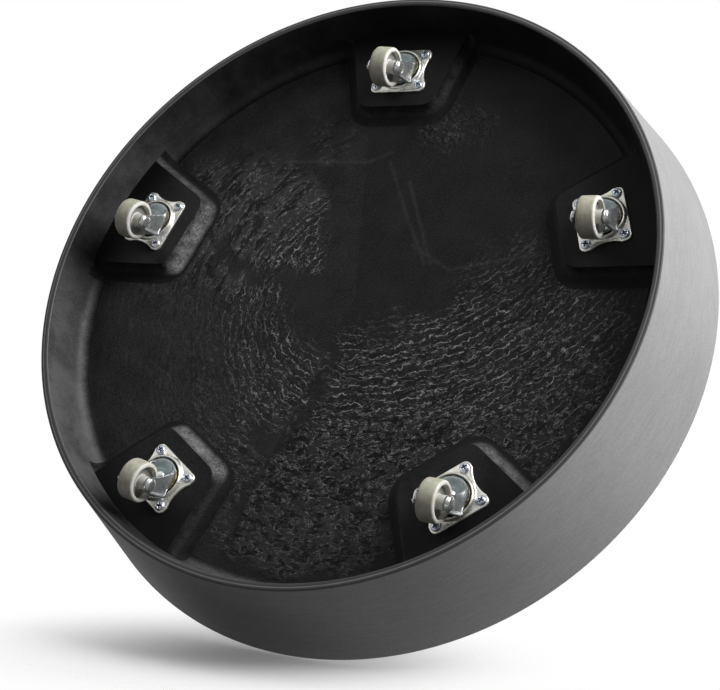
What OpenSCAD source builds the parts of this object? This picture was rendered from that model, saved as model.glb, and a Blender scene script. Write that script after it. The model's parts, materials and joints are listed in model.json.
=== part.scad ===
// Round plant pot caddy: a moulded dish tray on swivel casters.
// The wheels stand on z = 0, and the tray's axis is the z axis.

/* [Tray] */
// Outer radius of the wall at the bottom rim
rim_r = 240; // [215:1:300]
// Height of the wall from the rim to the lip
wall_h = 97; // [80:1:130]
// How far the outer face leans out from the rim to the lip
wall_flare = 17; // [10:0.5:26]
// Width of the bottom rim
rim_w = 5.2; // [4:0.1:8]
// Thickness of the wall at the lip
lip_w = 5.5; // [4:0.1:8]
// Height of the recess floor above the rim
recess_h = 40; // [34:0.5:48]
// How far the recess wall leans in from the rim to the recess floor
recess_lean = 6.8; // [3:0.1:10]
// Fillet between the recess wall and the recess floor
recess_fillet = 9; // [4:0.5:12]
// Thickness of the deck
deck_t = 6; // [5:0.5:10]
// How far the dish wall leans out from the dish floor to the lip
dish_lean = 11; // [8:0.5:14]
// Fillet between the dish floor and the dish wall
dish_fillet = 10; // [4:0.5:14]
// Rounding of the edges of the rim and the lip
edge_round = 1.2; // [0.6:0.1:1.8]

/* [Caster pads] */
// Height of a pad's face below the recess floor
pad_t = 12; // [10:0.5:16]
// Width of pad showing beyond the plate, towards the tray's middle
pad_front = 12; // [10:0.5:16]
// Width of pad showing beyond the plate's ends, at the pad's inner edge
pad_side = 7.5; // [6:0.5:12]
// Angle at which each side of a pad opens towards the wall
pad_flare = 16; // [8:1:22]
// Radius of a pad's inner corners
pad_corner = 11; // [8:0.5:14]
// Width of the sloping skirt around a pad
pad_skirt = 11; // [8:0.5:14]

/* [Casters] */
// Number of casters
caster_n = 5; // [4:1:6]
// Least room between a turning caster and the recess wall
swing_room = 8; // [5:0.5:20]
// Distance of the axle behind the swivel axis
trail = 12; // [9:0.5:14]
// Running clearance on the radius of a bore
bore_gap = 0.05; // [0.02:0.01:0.08]
// Clearance on the radius of a riveted or screwed hole
seat_gap = 0.03; // [0.02:0.01:0.05]

/* [Top plate] */
// Thickness of the plate
plate_t = 1.8; // [1.5:0.1:2.5]
// Width of the plate's raised bearing ring
ring_w = 2.5; // [2:0.1:3.5]
// Height of the raised bearing ring below the plate
ring_h = 3; // [2.6:0.1:3.2]
// Angle of the screw holes from the plate's long axis
hole_angle = 38.7; // [36:0.1:42]
// Distance from a screw hole to the nearest edges
hole_edge = 5; // [4.5:0.1:7]
// Radius of a screw's hole in the plate
hole_r = 2.3; // [2.2:0.1:2.6]
// Depth of the concave bay in each end of the plate
bay_depth = 3; // [2:0.1:6]
// Radius of the plate's corners
plate_corner = 4.5; // [3:0.1:5]

/* [Bearing] */
// Number of bearing balls
ball_n = 14; // [8:1:16]
// Diameter of a bearing ball
ball_d = 3; // [2.6:0.1:3.4]
// Radius of the circle of balls
ball_circle_r = 11; // [10.5:0.1:13]
// Play between a ball and its race
ball_play = 0.1; // [0.05:0.01:0.15]
// Space between the plate and the crown
race_gap = 2; // [1.8:0.1:2.3]
// Radius of the plate's middle boss
boss_r = 8; // [7:0.1:8.4]
// Space between the middle boss and the crown
boss_gap = 0.4; // [0.3:0.05:0.6]
// Diameter of the king rivet
king_d = 6; // [5:0.1:7]
// Diameter of the king rivet's heads
king_head_d = 9; // [8.5:0.1:10]
// Height of the king rivet's domed head
king_head_h = 1.9; // [1.5:0.1:2.2]
// Play under the king rivet's head
king_play = 0.1; // [0.05:0.01:0.2]

/* [Fork] */
// Thickness of the fork's sheet
fork_t = 1.8; // [1.4:0.1:2.2]
// Width of crown outside the ball race
crown_edge = 1.7; // [1.4:0.1:2.4]
// Space between the crown and the plate's ring
crown_gap = 0.6; // [0.4:0.05:0.9]
// Depth of the dish in the crown's underside
crown_dish = 0.6; // [0.3:0.05:0.7]
// Height over which an arm draws in below the crown
arm_shoulder = 6.5; // [5:0.1:8]
// Radius of the bend in an arm's outer face
arm_bend = 10; // [6:0.5:10]
// How far an arm's rear corner reaches behind the swivel axis
arm_rear = 13; // [11:0.1:14]
// Radius of an arm's end around the axle
arm_end_r = 5.4; // [5:0.1:6]
// Depth of the hollow in an arm's front edge
arm_hollow = 2; // [1:0.1:2.5]

/* [Wheel] */
// Diameter of the wheel
wheel_d = 30; // [26:0.5:34]
// Width of the tread
wheel_w = 13.5; // [12:0.5:18]
// Radius of the tread's shoulders
shoulder_r = 2.5; // [1.5:0.1:3]
// Rounding of the wheel's other edges
wheel_round = 0.4; // [0.2:0.1:0.6]
// Thickness of the wheel's outer ring
tread_t = 3.2; // [2.6:0.1:5]
// Diameter of the hub
hub_d = 10.4; // [9.6:0.1:12]
// How far the hub stands out beyond the tread on each side
hub_proud = 1.25; // [0.2:0.05:2]
// Thickness of the web between the hub and the ring
web_t = 6; // [4:0.5:8]
// Space between the hub and an arm
hub_gap = 0.4; // [0.3:0.05:0.8]
// Space between the wheel and the king rivet's head
wheel_gap = 2.4; // [2:0.1:4]
// Diameter of the axle
axle_d = 5; // [4:0.1:6]
// Diameter of the axle's domed heads
axle_head_d = 8.6; // [8:0.1:9.5]
// Height of the axle's domed heads
axle_head_h = 2; // [1.5:0.1:2.5]

/* [Screws] */
// Diameter of a screw's shank
screw_d = 3.9; // [3.5:0.1:4.2]
// Length of a screw below its head
screw_len = 14; // [11:0.5:15]
// Diameter of a screw's head
screw_head_d = 7.2; // [6.6:0.1:7.8]
// Height of a screw's head
screw_head_h = 2.4; // [2:0.1:2.8]
// Space between a screw's head and the bearing ring
head_gap = 1.5; // [1:0.1:2.5]
// Width of a screw's cross recess
cross_w = 1.3; // [0.8:0.1:1.5]
// Depth of a screw's cross recess
cross_depth = 1.4; // [0.8:0.1:1.6]
// Angle between the crosses of neighbouring screws
cross_turn = 25; // [0:5:45]

/* [Hidden] */
// Direction in which each wheel trails at rest, in degrees around z
rest_heading = [340, 338, 331, 323, 331];
// Steps in a rounded corner of an outline
arc_steps = 8;
// Steps in a pad's skirt, from its face to the recess floor
skirt_steps = 5;
// Overlap that joins the parts of one solid
weld = 0.2;
// Overlap of a pad's outer end with the wall
pad_bite = 1;
$fn = 96;

// Bearing, worked out downwards from the pad's face
ball_r = ball_d / 2;
crown_r = ball_circle_r + ball_r + crown_edge;
ring_in_r = crown_r + crown_gap;
ring_out_r = ring_in_r + ring_w;
ball_drop = plate_t + race_gap / 2;
crown_top = plate_t + race_gap;
crown_under = crown_top + fork_t;
king_head_top = crown_under - crown_dish + king_play;
king_sink = (king_head_d - king_d) / 2;

// Screw holes and plate
hole_circle_r = ring_out_r + screw_head_d / 2 + head_gap;
hole_x = hole_circle_r * sin(hole_angle);
hole_y = hole_circle_r * cos(hole_angle);
plate_half_x = hole_x + hole_edge;
plate_half_y = hole_y + hole_edge;
bay_half = hole_x - hole_r;
bay_r = (bay_half * bay_half + bay_depth * bay_depth) / (2 * bay_depth);
screw_places = [for (sx = [-1, 1], sy = [-1, 1]) [sx * hole_x, sy * hole_y]];
screw_point = screw_d / 2;
screw_tip_d = screw_d / 4;
cross_half = screw_head_d / 4;
ring_edge_in = ring_w / 4;
ring_edge_out = ring_w / 2;

// Wheel and fork
wheel_r = wheel_d / 2;
axle_drop = king_head_top + king_head_h + wheel_gap + wheel_r;
hub_half = wheel_w / 2 + hub_proud;
arm_in = hub_half + hub_gap;
arm_out = arm_in + fork_t;
arm_front = sqrt(crown_r * crown_r - arm_out * arm_out);
crown_round = fork_t / 3;
arm_top_out = crown_r - crown_round;
arm_top = crown_under - weld;
axle_half = arm_out + axle_head_h;

// Heights above the floor, and the casters' places
pad_z = axle_drop + wheel_r;
rim_z = pad_z - recess_h + pad_t;
swing_r = norm([trail + wheel_r, wheel_w / 2]);
caster_circle_r = rim_r - rim_w - recess_lean - swing_room - swing_r;

// Pad, seen from its caster with x pointing to the wall, which its outer end enters by pad_bite
pad_in_x = -plate_half_x - pad_front;
pad_half = plate_half_y + pad_side;
pad_wall_r = rim_r - rim_w - recess_lean * (recess_h - pad_t) / recess_h;
pad_out_x = pad_wall_r + pad_bite - caster_circle_r;
pad_out_half = pad_half + (pad_out_x - pad_in_x) * tan(pad_flare);
pad_points = 2 * (arc_steps + 2);

PIECES = ["top_plate", "king_rivet", "balls", "fork", "axle", "wheel", "screws"];

// Unit vector from p towards q
function toward(p, q) = (q - p) / norm(q - p);

// Centre of an arc of radius r that rounds the corner p between a and b
function corner_centre(a, p, b, r) =
    let (u = toward(p, a), v = toward(p, b), half = acos(u * v) / 2)
    p + (u + v) / norm(u + v) * r / sin(half);

// Points of the arc of radius r that rounds the corner p between a and b
function corner_arc(a, p, b, r) =
    let (
        u = toward(p, a),
        v = toward(p, b),
        c = corner_centre(a, p, b, r),
        reach = r / tan(acos(u * v) / 2),
        s = p + u * reach - c,
        e = p + v * reach - c,
        start = atan2(s.y, s.x),
        turn = atan2(s.x * e.y - s.y * e.x, s * e)
    )
    [
        for (i = [0:arc_steps])
            let (a = start + turn * i / arc_steps)
            c + r * [cos(a), sin(a)]
    ];

// Closed outline whose corners are rounded, each to its own radius, or left sharp at 0
function rounded(points, radii) =
    let (n = len(points))
    [for (i = [0:n - 1]) each radii[i] == 0
        ? [points[i]]
        : corner_arc(points[(i + n - 1) % n], points[i], points[(i + 1) % n], radii[i])];

// Point where the line from p touches a circle, on the side given by the sign of side
function touch_point(p, c, r, side) =
    let (to_p = p - c, turn = atan2(to_p.y, to_p.x) + side * acos(r / norm(to_p)))
    c + r * [cos(turn), sin(turn)];

// Puts its children at caster k: z = 0 on the pad's face, x pointing to the wall
module at_caster(k) {
    rotate(360 / caster_n * (k - 1))
        translate([caster_circle_r, 0, pad_z])
            children();
}

// Puts its children in fork k's frame: x pointing the way the wheel trails
module at_fork(k) {
    at_caster(k)
        rotate(rest_heading[(k - 1) % len(rest_heading)] - 360 / caster_n * (k - 1))
            children();
}

// Puts its children on fork k's axle, with the axle along z
module at_axle(k) {
    at_fork(k)
        translate([trail, 0, -axle_drop])
            rotate([-90, 0, 0])
                children();
}

// Half section of the tray, as radius and height above the rim
module tray_section() {
    recess_r = rim_r - rim_w - recess_lean;
    lip_r = rim_r + wall_flare;
    dish_z = recess_h + deck_t;
    polygon(rounded(
        [
            [0, recess_h],
            [recess_r, recess_h],
            [rim_r - rim_w, 0],
            [rim_r, 0],
            [lip_r, wall_h],
            [lip_r - lip_w, wall_h],
            [lip_r - lip_w - dish_lean, dish_z],
            [0, dish_z]
        ],
        [0, recess_fillet, edge_round, edge_round, edge_round, edge_round, dish_fillet, 0]
    ));
}

// Outline of a pad at a distance outside the edge of its face, with pad_points points
function pad_ring(out, height) =
    let (
        low_in = [pad_in_x, -pad_half],
        high_in = [pad_in_x, pad_half],
        out_half = pad_out_half + out / cos(pad_flare),
        low_c = corner_centre([pad_out_x, -pad_out_half], low_in, high_in, pad_corner),
        high_c = corner_centre(low_in, high_in, [pad_out_x, pad_out_half], pad_corner),
        r = pad_corner + out,
        turn = (90 - pad_flare) / arc_steps,
        low_start = 270 - pad_flare
    )
    [
        [pad_out_x, -out_half, height],
        for (i = [0:arc_steps])
            let (a = low_start - turn * i)
            [low_c.x + r * cos(a), low_c.y + r * sin(a), height],
        for (i = [0:arc_steps])
            let (a = 180 - turn * i)
            [high_c.x + r * cos(a), high_c.y + r * sin(a), height],
        [pad_out_x, out_half, height]
    ];

// Raised pad for one caster, with a hollow skirt that runs out into the recess floor
module pad() {
    rings = [
        for (i = [0:skirt_steps])
            let (turn = 90 * i / skirt_steps)
            pad_ring(pad_skirt * (1 - cos(turn)), (pad_t + weld) * sin(turn)),
        pad_ring(pad_skirt, pad_t + deck_t / 2)
    ];
    last = len(rings) - 1;
    polyhedron(
        points = [for (ring = rings) each ring],
        faces = [
            [for (j = [0:pad_points - 1]) pad_points - 1 - j],
            for (i = [0:last - 1], j = [0:pad_points - 1])
                let (next = (j + 1) % pad_points)
                [
                    i * pad_points + j,
                    i * pad_points + next,
                    (i + 1) * pad_points + next,
                    (i + 1) * pad_points + j
                ],
            [for (j = [0:pad_points - 1]) last * pad_points + j]
        ]
    );
}

// Dome of a given base radius and height, standing on z = 0
module dome(r, h) {
    ball = (r * r + h * h) / (2 * h);
    rotate_extrude()
        intersection() {
            translate([0, h - ball])
                circle(ball);
            square([r, h]);
        }
}

module tray() {
    color("#2c2c2e")
        difference() {
            union() {
                translate([0, 0, rim_z])
                    rotate_extrude($fn = 240)
                        tray_section();
                for (k = [1:caster_n])
                    at_caster(k)
                        pad();
            }
            for (k = [1:caster_n])
                at_caster(k)
                    for (place = screw_places)
                        translate([place.x, place.y, -weld])
                            cylinder(d = screw_d + 2 * seat_gap, h = screw_len - plate_t + seat_gap + weld);
        }
}

// Outline of the top plate, with a concave bay in each end
module plate_outline() {
    difference() {
        polygon(rounded(
            [for (c = [[-1, -1], [1, -1], [1, 1], [-1, 1]]) [c.x * plate_half_x, c.y * plate_half_y]],
            [for (i = [1:4]) plate_corner]
        ));
        for (side = [-1, 1])
            translate([0, side * (plate_half_y - bay_depth + bay_r)])
                circle(bay_r);
        for (place = screw_places)
            translate(place)
                circle(hole_r);
    }
}

module top_plate(k) {
    color("#c9cbc2")
        at_caster(k)
            difference() {
                union() {
                    translate([0, 0, -plate_t])
                        linear_extrude(plate_t)
                            plate_outline();
                    translate([0, 0, -plate_t - ring_h])
                        rotate_extrude()
                            polygon(rounded(
                                [
                                    [ring_in_r, 0],
                                    [ring_out_r, 0],
                                    [ring_out_r, ring_h + weld],
                                    [ring_in_r, ring_h + weld]
                                ],
                                [ring_edge_in, ring_edge_out, 0, 0]
                            ));
                    translate([0, 0, boss_gap - crown_top])
                        cylinder(r = boss_r, h = crown_top - boss_gap - plate_t + weld);
                }
                ball_race();
                translate([0, 0, -crown_top])
                    cylinder(d = king_d + 2 * seat_gap, h = crown_top);
                translate([0, 0, -king_sink])
                    cylinder(d1 = king_d + 2 * seat_gap, d2 = king_head_d + 2 * seat_gap, h = king_sink);
            }
}

// Ring that clears the balls, cut from the plate and from the crown
module ball_race() {
    translate([0, 0, -ball_drop])
        rotate_extrude()
            translate([ball_circle_r, 0])
                circle(ball_r + ball_play);
}

module king_rivet(k) {
    color("#b4b6b0")
        at_caster(k) {
            translate([0, 0, -king_head_top])
                cylinder(d = king_d, h = king_head_top - king_sink);
            translate([0, 0, -king_sink])
                cylinder(d1 = king_d, d2 = king_head_d, h = king_sink);
            translate([0, 0, -king_head_top])
                mirror([0, 0, 1])
                    dome(king_head_d / 2, king_head_h);
        }
}

module balls(k) {
    color("#d8d8d8")
        at_caster(k)
            for (i = [0:ball_n - 1])
                rotate(360 / ball_n * i)
                    translate([ball_circle_r, 0, -ball_drop])
                        sphere(d = ball_d, $fn = 48);
}

// Crown of the fork, dished underneath around the king rivet
module crown() {
    dish_r = king_head_d / 2 + crown_edge;
    translate([0, 0, -crown_under])
        rotate_extrude()
            polygon(rounded(
                [
                    [king_d / 2 + bore_gap, crown_dish],
                    [dish_r, crown_dish],
                    [dish_r + crown_edge, 0],
                    [crown_r, 0],
                    [crown_r, fork_t],
                    [king_d / 2 + bore_gap, fork_t]
                ],
                [0, 0, 0, crown_round, crown_round, 0]
            ));
}

// Side view of an arm, as distance behind the swivel axis and height
module arm_side() {
    end = [trail, -axle_drop];
    front = [-arm_front, -arm_top];
    rear = [arm_rear, -arm_top];
    front_touch = touch_point(front, end, arm_end_r, 1);
    rear_touch = touch_point(rear, end, arm_end_r, -1);
    edge = toward(front, front_touch);
    chord = norm(front_touch - front) / 2;
    hollow_r = (chord * chord + arm_hollow * arm_hollow) / (2 * arm_hollow);
    outward = [edge.y, -edge.x];
    difference() {
        union() {
            polygon([front, front_touch, end, rear_touch, rear]);
            translate(end)
                circle(arm_end_r);
        }
        translate((front + front_touch) / 2 + outward * (hollow_r - arm_hollow))
            circle(hollow_r);
    }
}

// Front view of the arm on the positive side, as distance along the axle and height
module arm_front_view() {
    foot = -axle_drop - arm_end_r;
    shoulder = -arm_top - arm_shoulder;
    polygon(rounded(
        [
            [arm_top_out - fork_t, -arm_top],
            [arm_top_out, -arm_top],
            [arm_out, shoulder],
            [arm_out, foot],
            [arm_in, foot],
            [arm_in, shoulder]
        ],
        [0, 0, arm_bend, 0, 0, arm_bend + fork_t]
    ));
}

module fork(k) {
    span = 4 * (crown_r + trail);
    color("#bdc1c2")
        at_fork(k)
            difference() {
                union() {
                    crown();
                    for (side = [0, 1])
                        mirror([0, side, 0])
                            intersection() {
                                translate([0, crown_r + trail, 0])
                                    rotate([90, 0, 0])
                                        linear_extrude(crown_r + trail)
                                            arm_side();
                                translate([-span / 2, 0, 0])
                                    rotate([90, 0, 90])
                                        linear_extrude(span)
                                            arm_front_view();
                            }
                }
                ball_race();
                translate([trail, axle_half, -axle_drop])
                    rotate([90, 0, 0])
                        cylinder(d = axle_d + 2 * seat_gap, h = 2 * axle_half);
            }
}

module axle(k) {
    color("#c4c6c4")
        at_axle(k) {
            translate([0, 0, -arm_out])
                cylinder(d = axle_d, h = 2 * arm_out);
            for (side = [0, 1])
                mirror([0, 0, side])
                    translate([0, 0, arm_out])
                        dome(axle_head_d / 2, axle_head_h);
        }
}

module wheel(k) {
    bore_r = axle_d / 2 + bore_gap;
    ring_in = wheel_r - tread_t;
    color("#b9b4a6")
        at_axle(k)
            rotate_extrude()
                polygon(rounded(
                    [
                        [bore_r, -hub_half],
                        [hub_d / 2, -hub_half],
                        [hub_d / 2, -web_t / 2],
                        [ring_in, -web_t / 2],
                        [ring_in, -wheel_w / 2],
                        [wheel_r, -wheel_w / 2],
                        [wheel_r, wheel_w / 2],
                        [ring_in, wheel_w / 2],
                        [ring_in, web_t / 2],
                        [hub_d / 2, web_t / 2],
                        [hub_d / 2, hub_half],
                        [bore_r, hub_half]
                    ],
                    [
                        0, wheel_round, 0, 0, wheel_round, shoulder_r,
                        shoulder_r, wheel_round, 0, 0, wheel_round, 0
                    ]
                ));
}

// One pan-head screw, pointing up, with its head's seat on z = 0
module screw() {
    union() {
        difference() {
            mirror([0, 0, 1])
                dome(screw_head_d / 2, screw_head_h);
            for (turn = [0, 90])
                rotate(turn)
                    translate([-cross_half, -cross_w / 2, -screw_head_h])
                        cube([2 * cross_half, cross_w, cross_depth]);
        }
        cylinder(d = screw_d, h = screw_len - screw_point);
        translate([0, 0, screw_len - screw_point])
            cylinder(d1 = screw_d, d2 = screw_tip_d, h = screw_point);
    }
}

module screws(k) {
    color("#aab2bc")
        at_caster(k)
            for (i = [0:len(screw_places) - 1])
                translate([screw_places[i].x, screw_places[i].y, -plate_t])
                    rotate(cross_turn * i)
                        screw();
}

tray();
for (k = [1:caster_n]) {
    top_plate(k);
    king_rivet(k);
    balls(k);
    fork(k);
    axle(k);
    wheel(k);
    screws(k);
}
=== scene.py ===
# %% [markdown]
# # A plant pot caddy, seen from below
# The object is a round moulded tray that carries a heavy plant pot indoors. Five small swivel
# casters are screwed to raised pads in the hollow underside, and the photograph looks up into it.
# The solid model is loaded first and never moved. Everything made here is measured from it.

# %% Load the solid model
import json
import math

import bmesh
import bpy
import numpy as np
from mathutils import Matrix, Vector
from mathutils.geometry import delaunay_2d_cdt
from mathutils.kdtree import KDTree

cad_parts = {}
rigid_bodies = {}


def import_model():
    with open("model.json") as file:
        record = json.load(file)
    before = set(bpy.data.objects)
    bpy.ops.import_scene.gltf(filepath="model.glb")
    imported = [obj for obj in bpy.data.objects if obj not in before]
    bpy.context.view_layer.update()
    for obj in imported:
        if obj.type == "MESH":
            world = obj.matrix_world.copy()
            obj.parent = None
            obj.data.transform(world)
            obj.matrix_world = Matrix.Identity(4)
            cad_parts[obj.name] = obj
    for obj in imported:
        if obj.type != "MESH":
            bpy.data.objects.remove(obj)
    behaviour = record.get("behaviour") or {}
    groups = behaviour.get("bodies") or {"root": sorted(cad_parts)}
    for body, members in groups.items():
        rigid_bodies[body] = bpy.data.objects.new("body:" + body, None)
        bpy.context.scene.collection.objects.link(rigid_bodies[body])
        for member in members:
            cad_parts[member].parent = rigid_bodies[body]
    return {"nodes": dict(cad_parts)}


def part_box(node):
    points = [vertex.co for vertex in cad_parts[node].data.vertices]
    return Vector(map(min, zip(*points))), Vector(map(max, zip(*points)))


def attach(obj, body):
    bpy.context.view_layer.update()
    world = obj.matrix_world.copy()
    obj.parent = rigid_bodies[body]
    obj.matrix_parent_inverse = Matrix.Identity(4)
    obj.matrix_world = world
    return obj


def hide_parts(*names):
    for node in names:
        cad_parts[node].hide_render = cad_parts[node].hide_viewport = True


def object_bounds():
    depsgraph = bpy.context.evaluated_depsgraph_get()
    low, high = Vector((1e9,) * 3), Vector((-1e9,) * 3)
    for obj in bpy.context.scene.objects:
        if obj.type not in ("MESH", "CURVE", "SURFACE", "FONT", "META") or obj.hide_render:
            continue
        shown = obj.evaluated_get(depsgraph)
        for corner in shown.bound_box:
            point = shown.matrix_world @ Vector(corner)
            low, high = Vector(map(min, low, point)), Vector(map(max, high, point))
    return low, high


for leftover in list(bpy.data.objects):
    bpy.data.objects.remove(leftover)
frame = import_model()
cad_low, cad_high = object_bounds()
nodes = frame["nodes"]
print("nodes:", len(nodes), "box in metres:", tuple(cad_low), tuple(cad_high))

# %% [markdown]
# ## The camera
# The caddy was photographed standing on its edge, so its casters face the viewer. The solid model
# stands on its wheels instead, and so the camera goes below the floor and rolls over. Its place was
# found by matching the rim's circle and the five plates. A long lens keeps the circle nearly oval.

# %% Camera
PHOTO_WIDTH = 720
SENSOR_WIDTH = 36.0
FOCAL_PIXELS = 1806.3
camera_place = Vector((0.1162, -0.7867, -1.0138))
camera_aim = Vector((0.0262, -0.0609, 0.0114))
camera_top = Vector((-0.7076, 0.5460, -0.4486))

toward_viewer = (camera_place - camera_aim).normalized()
picture_right = camera_top.cross(toward_viewer).normalized()
picture_up = toward_viewer.cross(picture_right)

lens = bpy.data.cameras.new("viewer")
lens.sensor_width = SENSOR_WIDTH
lens.lens = FOCAL_PIXELS / PHOTO_WIDTH * SENSOR_WIDTH
viewer = bpy.data.objects.new("viewer", lens)
axes = Matrix((picture_right, picture_up, toward_viewer)).transposed().to_4x4()
viewer.matrix_world = Matrix.Translation(camera_place) @ axes
scene = bpy.context.scene
scene.collection.objects.link(viewer)
scene.camera = viewer
scene.view_settings.view_transform = "Standard"
print("lens of", round(lens.lens, 1), "mm at", tuple(round(x, 3) for x in camera_place))

# %% [markdown]
# ## Shader arithmetic
# A finish is easier to read as a formula than as a web of boxes. This class wraps one output socket.
# A sum or product of two of them adds a Math node, so `1 - mask` means what it says. Every node
# comes from `add`, which takes the node's type, its settings and what goes into its sockets.


# %% Sockets that take part in sums
class Strand:
    """One output socket of a finish. Arithmetic on it adds Math nodes to the same tree."""

    def __init__(self, socket):
        self.socket = socket

    def add(self, kind, settings=None, inputs=None, out=0):
        """A new node of a kind: its settings first, then values or strands for its sockets."""
        tree = self.socket.id_data
        node = tree.nodes.new(kind)
        for name, value in (settings or {}).items():
            setattr(node, name, value)
        for name, value in (inputs or {}).items():
            if isinstance(value, Strand):
                tree.links.new(value.socket, node.inputs[name])
            else:
                node.inputs[name].default_value = value
        return Strand(node.outputs[out])

    def math(self, operation, *values):
        return self.add("ShaderNodeMath", {"operation": operation}, dict(enumerate(values)))

    def vector(self, operation, *values, out=0):
        return self.add("ShaderNodeVectorMath", {"operation": operation}, dict(enumerate(values)), out)

    def __add__(self, other):
        return self.math("ADD", self, other)

    def __sub__(self, other):
        return self.math("SUBTRACT", self, other)

    def __rsub__(self, other):
        return self.math("SUBTRACT", other, self)

    def __mul__(self, other):
        return self.math("MULTIPLY", self, other)

    __radd__ = __add__
    __rmul__ = __mul__

    def capped(self):
        """At most 1."""
        return self.math("MINIMUM", self, 1.0)

    def step(self, low, high):
        """0 below low, 1 above high, and a smooth ramp between."""
        span = {"interpolation_type": "SMOOTHSTEP"}
        return self.add("ShaderNodeMapRange", span, {0: self, 1: low, 2: high})

    def between(self, low, high):
        """A share from 0 to 1 turned into a value from low to high."""
        return self * (high - low) + low

    def tint(self, low, high):
        """A colour mixed from low to high by this share."""
        return self.add("ShaderNodeMix", {"data_type": "RGBA"}, {0: self, 6: low, 7: high}, out=2)


def rgb(red, green, blue):
    return (red, green, blue, 1.0)


print("shader arithmetic ready")

# %% [markdown]
# ## One way to start every finish
# Each finish is a Principled shader whose pattern is placed by the piece's own coordinates in
# metres, so the pattern travels with the piece when a caster turns. `grain` is a noise of a real
# size in millimetres, and `relief` turns a height into a bump of a real depth.

# %% Starting a finish
MM = 0.001
finishes = {}


def start_finish(name, **constants):
    """A new material: its Principled shader, and the piece's own coordinates as a strand."""
    material = bpy.data.materials.new(name)
    material.use_nodes = True
    shader = material.node_tree.nodes["Principled BSDF"]
    for socket, value in constants.items():
        shader.inputs[socket.replace("_", " ")].default_value = value
    finishes[name] = material
    place = Strand(shader.outputs[0]).add("ShaderNodeTexCoord", out="Object")
    return shader, place


def feed(shader, **strands):
    """Links strands to a shader's sockets by name."""
    for socket, strand in strands.items():
        target = shader.inputs[socket.replace("_", " ")]
        shader.id_data.links.new(strand.socket, target)


def stored(place, name):
    """A number that a piece keeps for each of its points."""
    return place.add("ShaderNodeAttribute", {"attribute_name": name}, out="Fac")


def stretched(place, x, y, z):
    """Coordinates multiplied along each axis."""
    return place.vector("MULTIPLY", place, (x, y, z))


def off_axis(place):
    """Distance from the tray's axis in metres."""
    return place.vector("LENGTH", stretched(place, 1.0, 1.0, 0.0), out="Value")


def grain(place, size_mm, detail=3.0, rough=0.55):
    """Cloudy noise, from 0 to 1, whose blots are about size_mm across."""
    inputs = {"Vector": place, "Scale": 1.0 / (size_mm * MM), "Detail": detail, "Roughness": rough}
    return place.add("ShaderNodeTexNoise", None, inputs)


def relief(height, depth_mm, strength=1.0):
    """A normal bent by a height from 0 to 1 that stands for depth_mm."""
    inputs = {"Height": height, "Strength": strength, "Distance": depth_mm * MM}
    return height.add("ShaderNodeBump", None, inputs)


print("finishes can be started")

# %% [markdown]
# ## The studio
# The photograph has a white sweep, a broad light at the right and a soft shadow at the lower left.
# The white comes from the world, as the eye and the metal see it. Towards the viewer the metal sees
# it darker, as a studio is behind the camera. All other light comes from the lamps.

# %% World
SKY_FILL, DARK_SIDE, DARK_FROM = 0.04, 0.16, 0.85
world = bpy.data.worlds.new("white studio")
scene.world = world
world.use_nodes = True
sky = world.node_tree.nodes["Background"]
rays = sky.id_data.nodes.new("ShaderNodeLightPath").outputs
eye = Strand(rays["Is Camera Ray"])
mirror = Strand(rays["Is Glossy Ray"]) + Strand(rays["Is Transmission Ray"])
way = eye.add("ShaderNodeTexCoord", out="Generated")
facing = way.vector("DOT_PRODUCT", way, toward_viewer, out="Value")
backdrop = facing.step(DARK_FROM, 0.0).between(DARK_SIDE, 1.0)
level = eye + (1.0 - eye) * (SKY_FILL + mirror.capped() * (backdrop - SKY_FILL))
sky.inputs["Color"].default_value = rgb(1.0, 1.0, 1.0)
sky.id_data.links.new(level.socket, sky.inputs["Strength"])
print("world: white to the eye, a fill of", SKY_FILL, "to the surfaces")

# %% [markdown]
# ## Two floors
# One floor lies under the wheels, for views from above, and fades into the white around it. In the
# photograph the caddy stands on its edge, and a second floor touches it there. As a plain sheet it
# would stand like a grey board beside the tray in other views. So it is a stair of tiny steps that
# lean towards the viewer, each just hiding the next, and clear from behind. What the metal mirrors
# of it is a flat sheet in the same place.

# %% Floors
FLOOR_SIZE, FLOOR_WHITE, FLOOR_OVAL = 8.0, 0.86, 1.6
FLOOR_GLOW, FLOOR_FADE = 0.62, (0.6, 2.2)


def floor_finish(name, glow_level, fade):
    """Matt white that keeps shadows, is clear from behind and fades out in an oval."""
    material = bpy.data.materials.new(name)
    material.use_nodes = True
    tree = material.node_tree
    tree.nodes.remove(tree.nodes["Principled BSDF"])
    behind = Strand(tree.nodes.new("ShaderNodeNewGeometry").outputs["Backfacing"])
    eye = behind.add("ShaderNodeLightPath", out="Is Camera Ray")
    matt = behind.add("ShaderNodeBsdfDiffuse", None, {"Color": rgb(FLOOR_WHITE, FLOOR_WHITE, FLOOR_WHITE)})
    glow = behind.add("ShaderNodeEmission", None, {"Strength": eye * glow_level})
    lit = behind.add("ShaderNodeAddShader", None, {0: matt, 1: glow})
    clear = behind.add("ShaderNodeBsdfTransparent")
    place = behind.add("ShaderNodeTexCoord", out="Object")
    far = place.vector("LENGTH", stretched(place, 1.0, FLOOR_OVAL, 1.0), out="Value")
    hidden = behind.math("MAXIMUM", behind, far.step(*fade))
    shown = behind.add("ShaderNodeMixShader", None, {0: hidden, 1: lit, 2: clear})
    tree.links.new(shown.socket, tree.nodes["Material Output"].inputs["Surface"])
    return material


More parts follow.
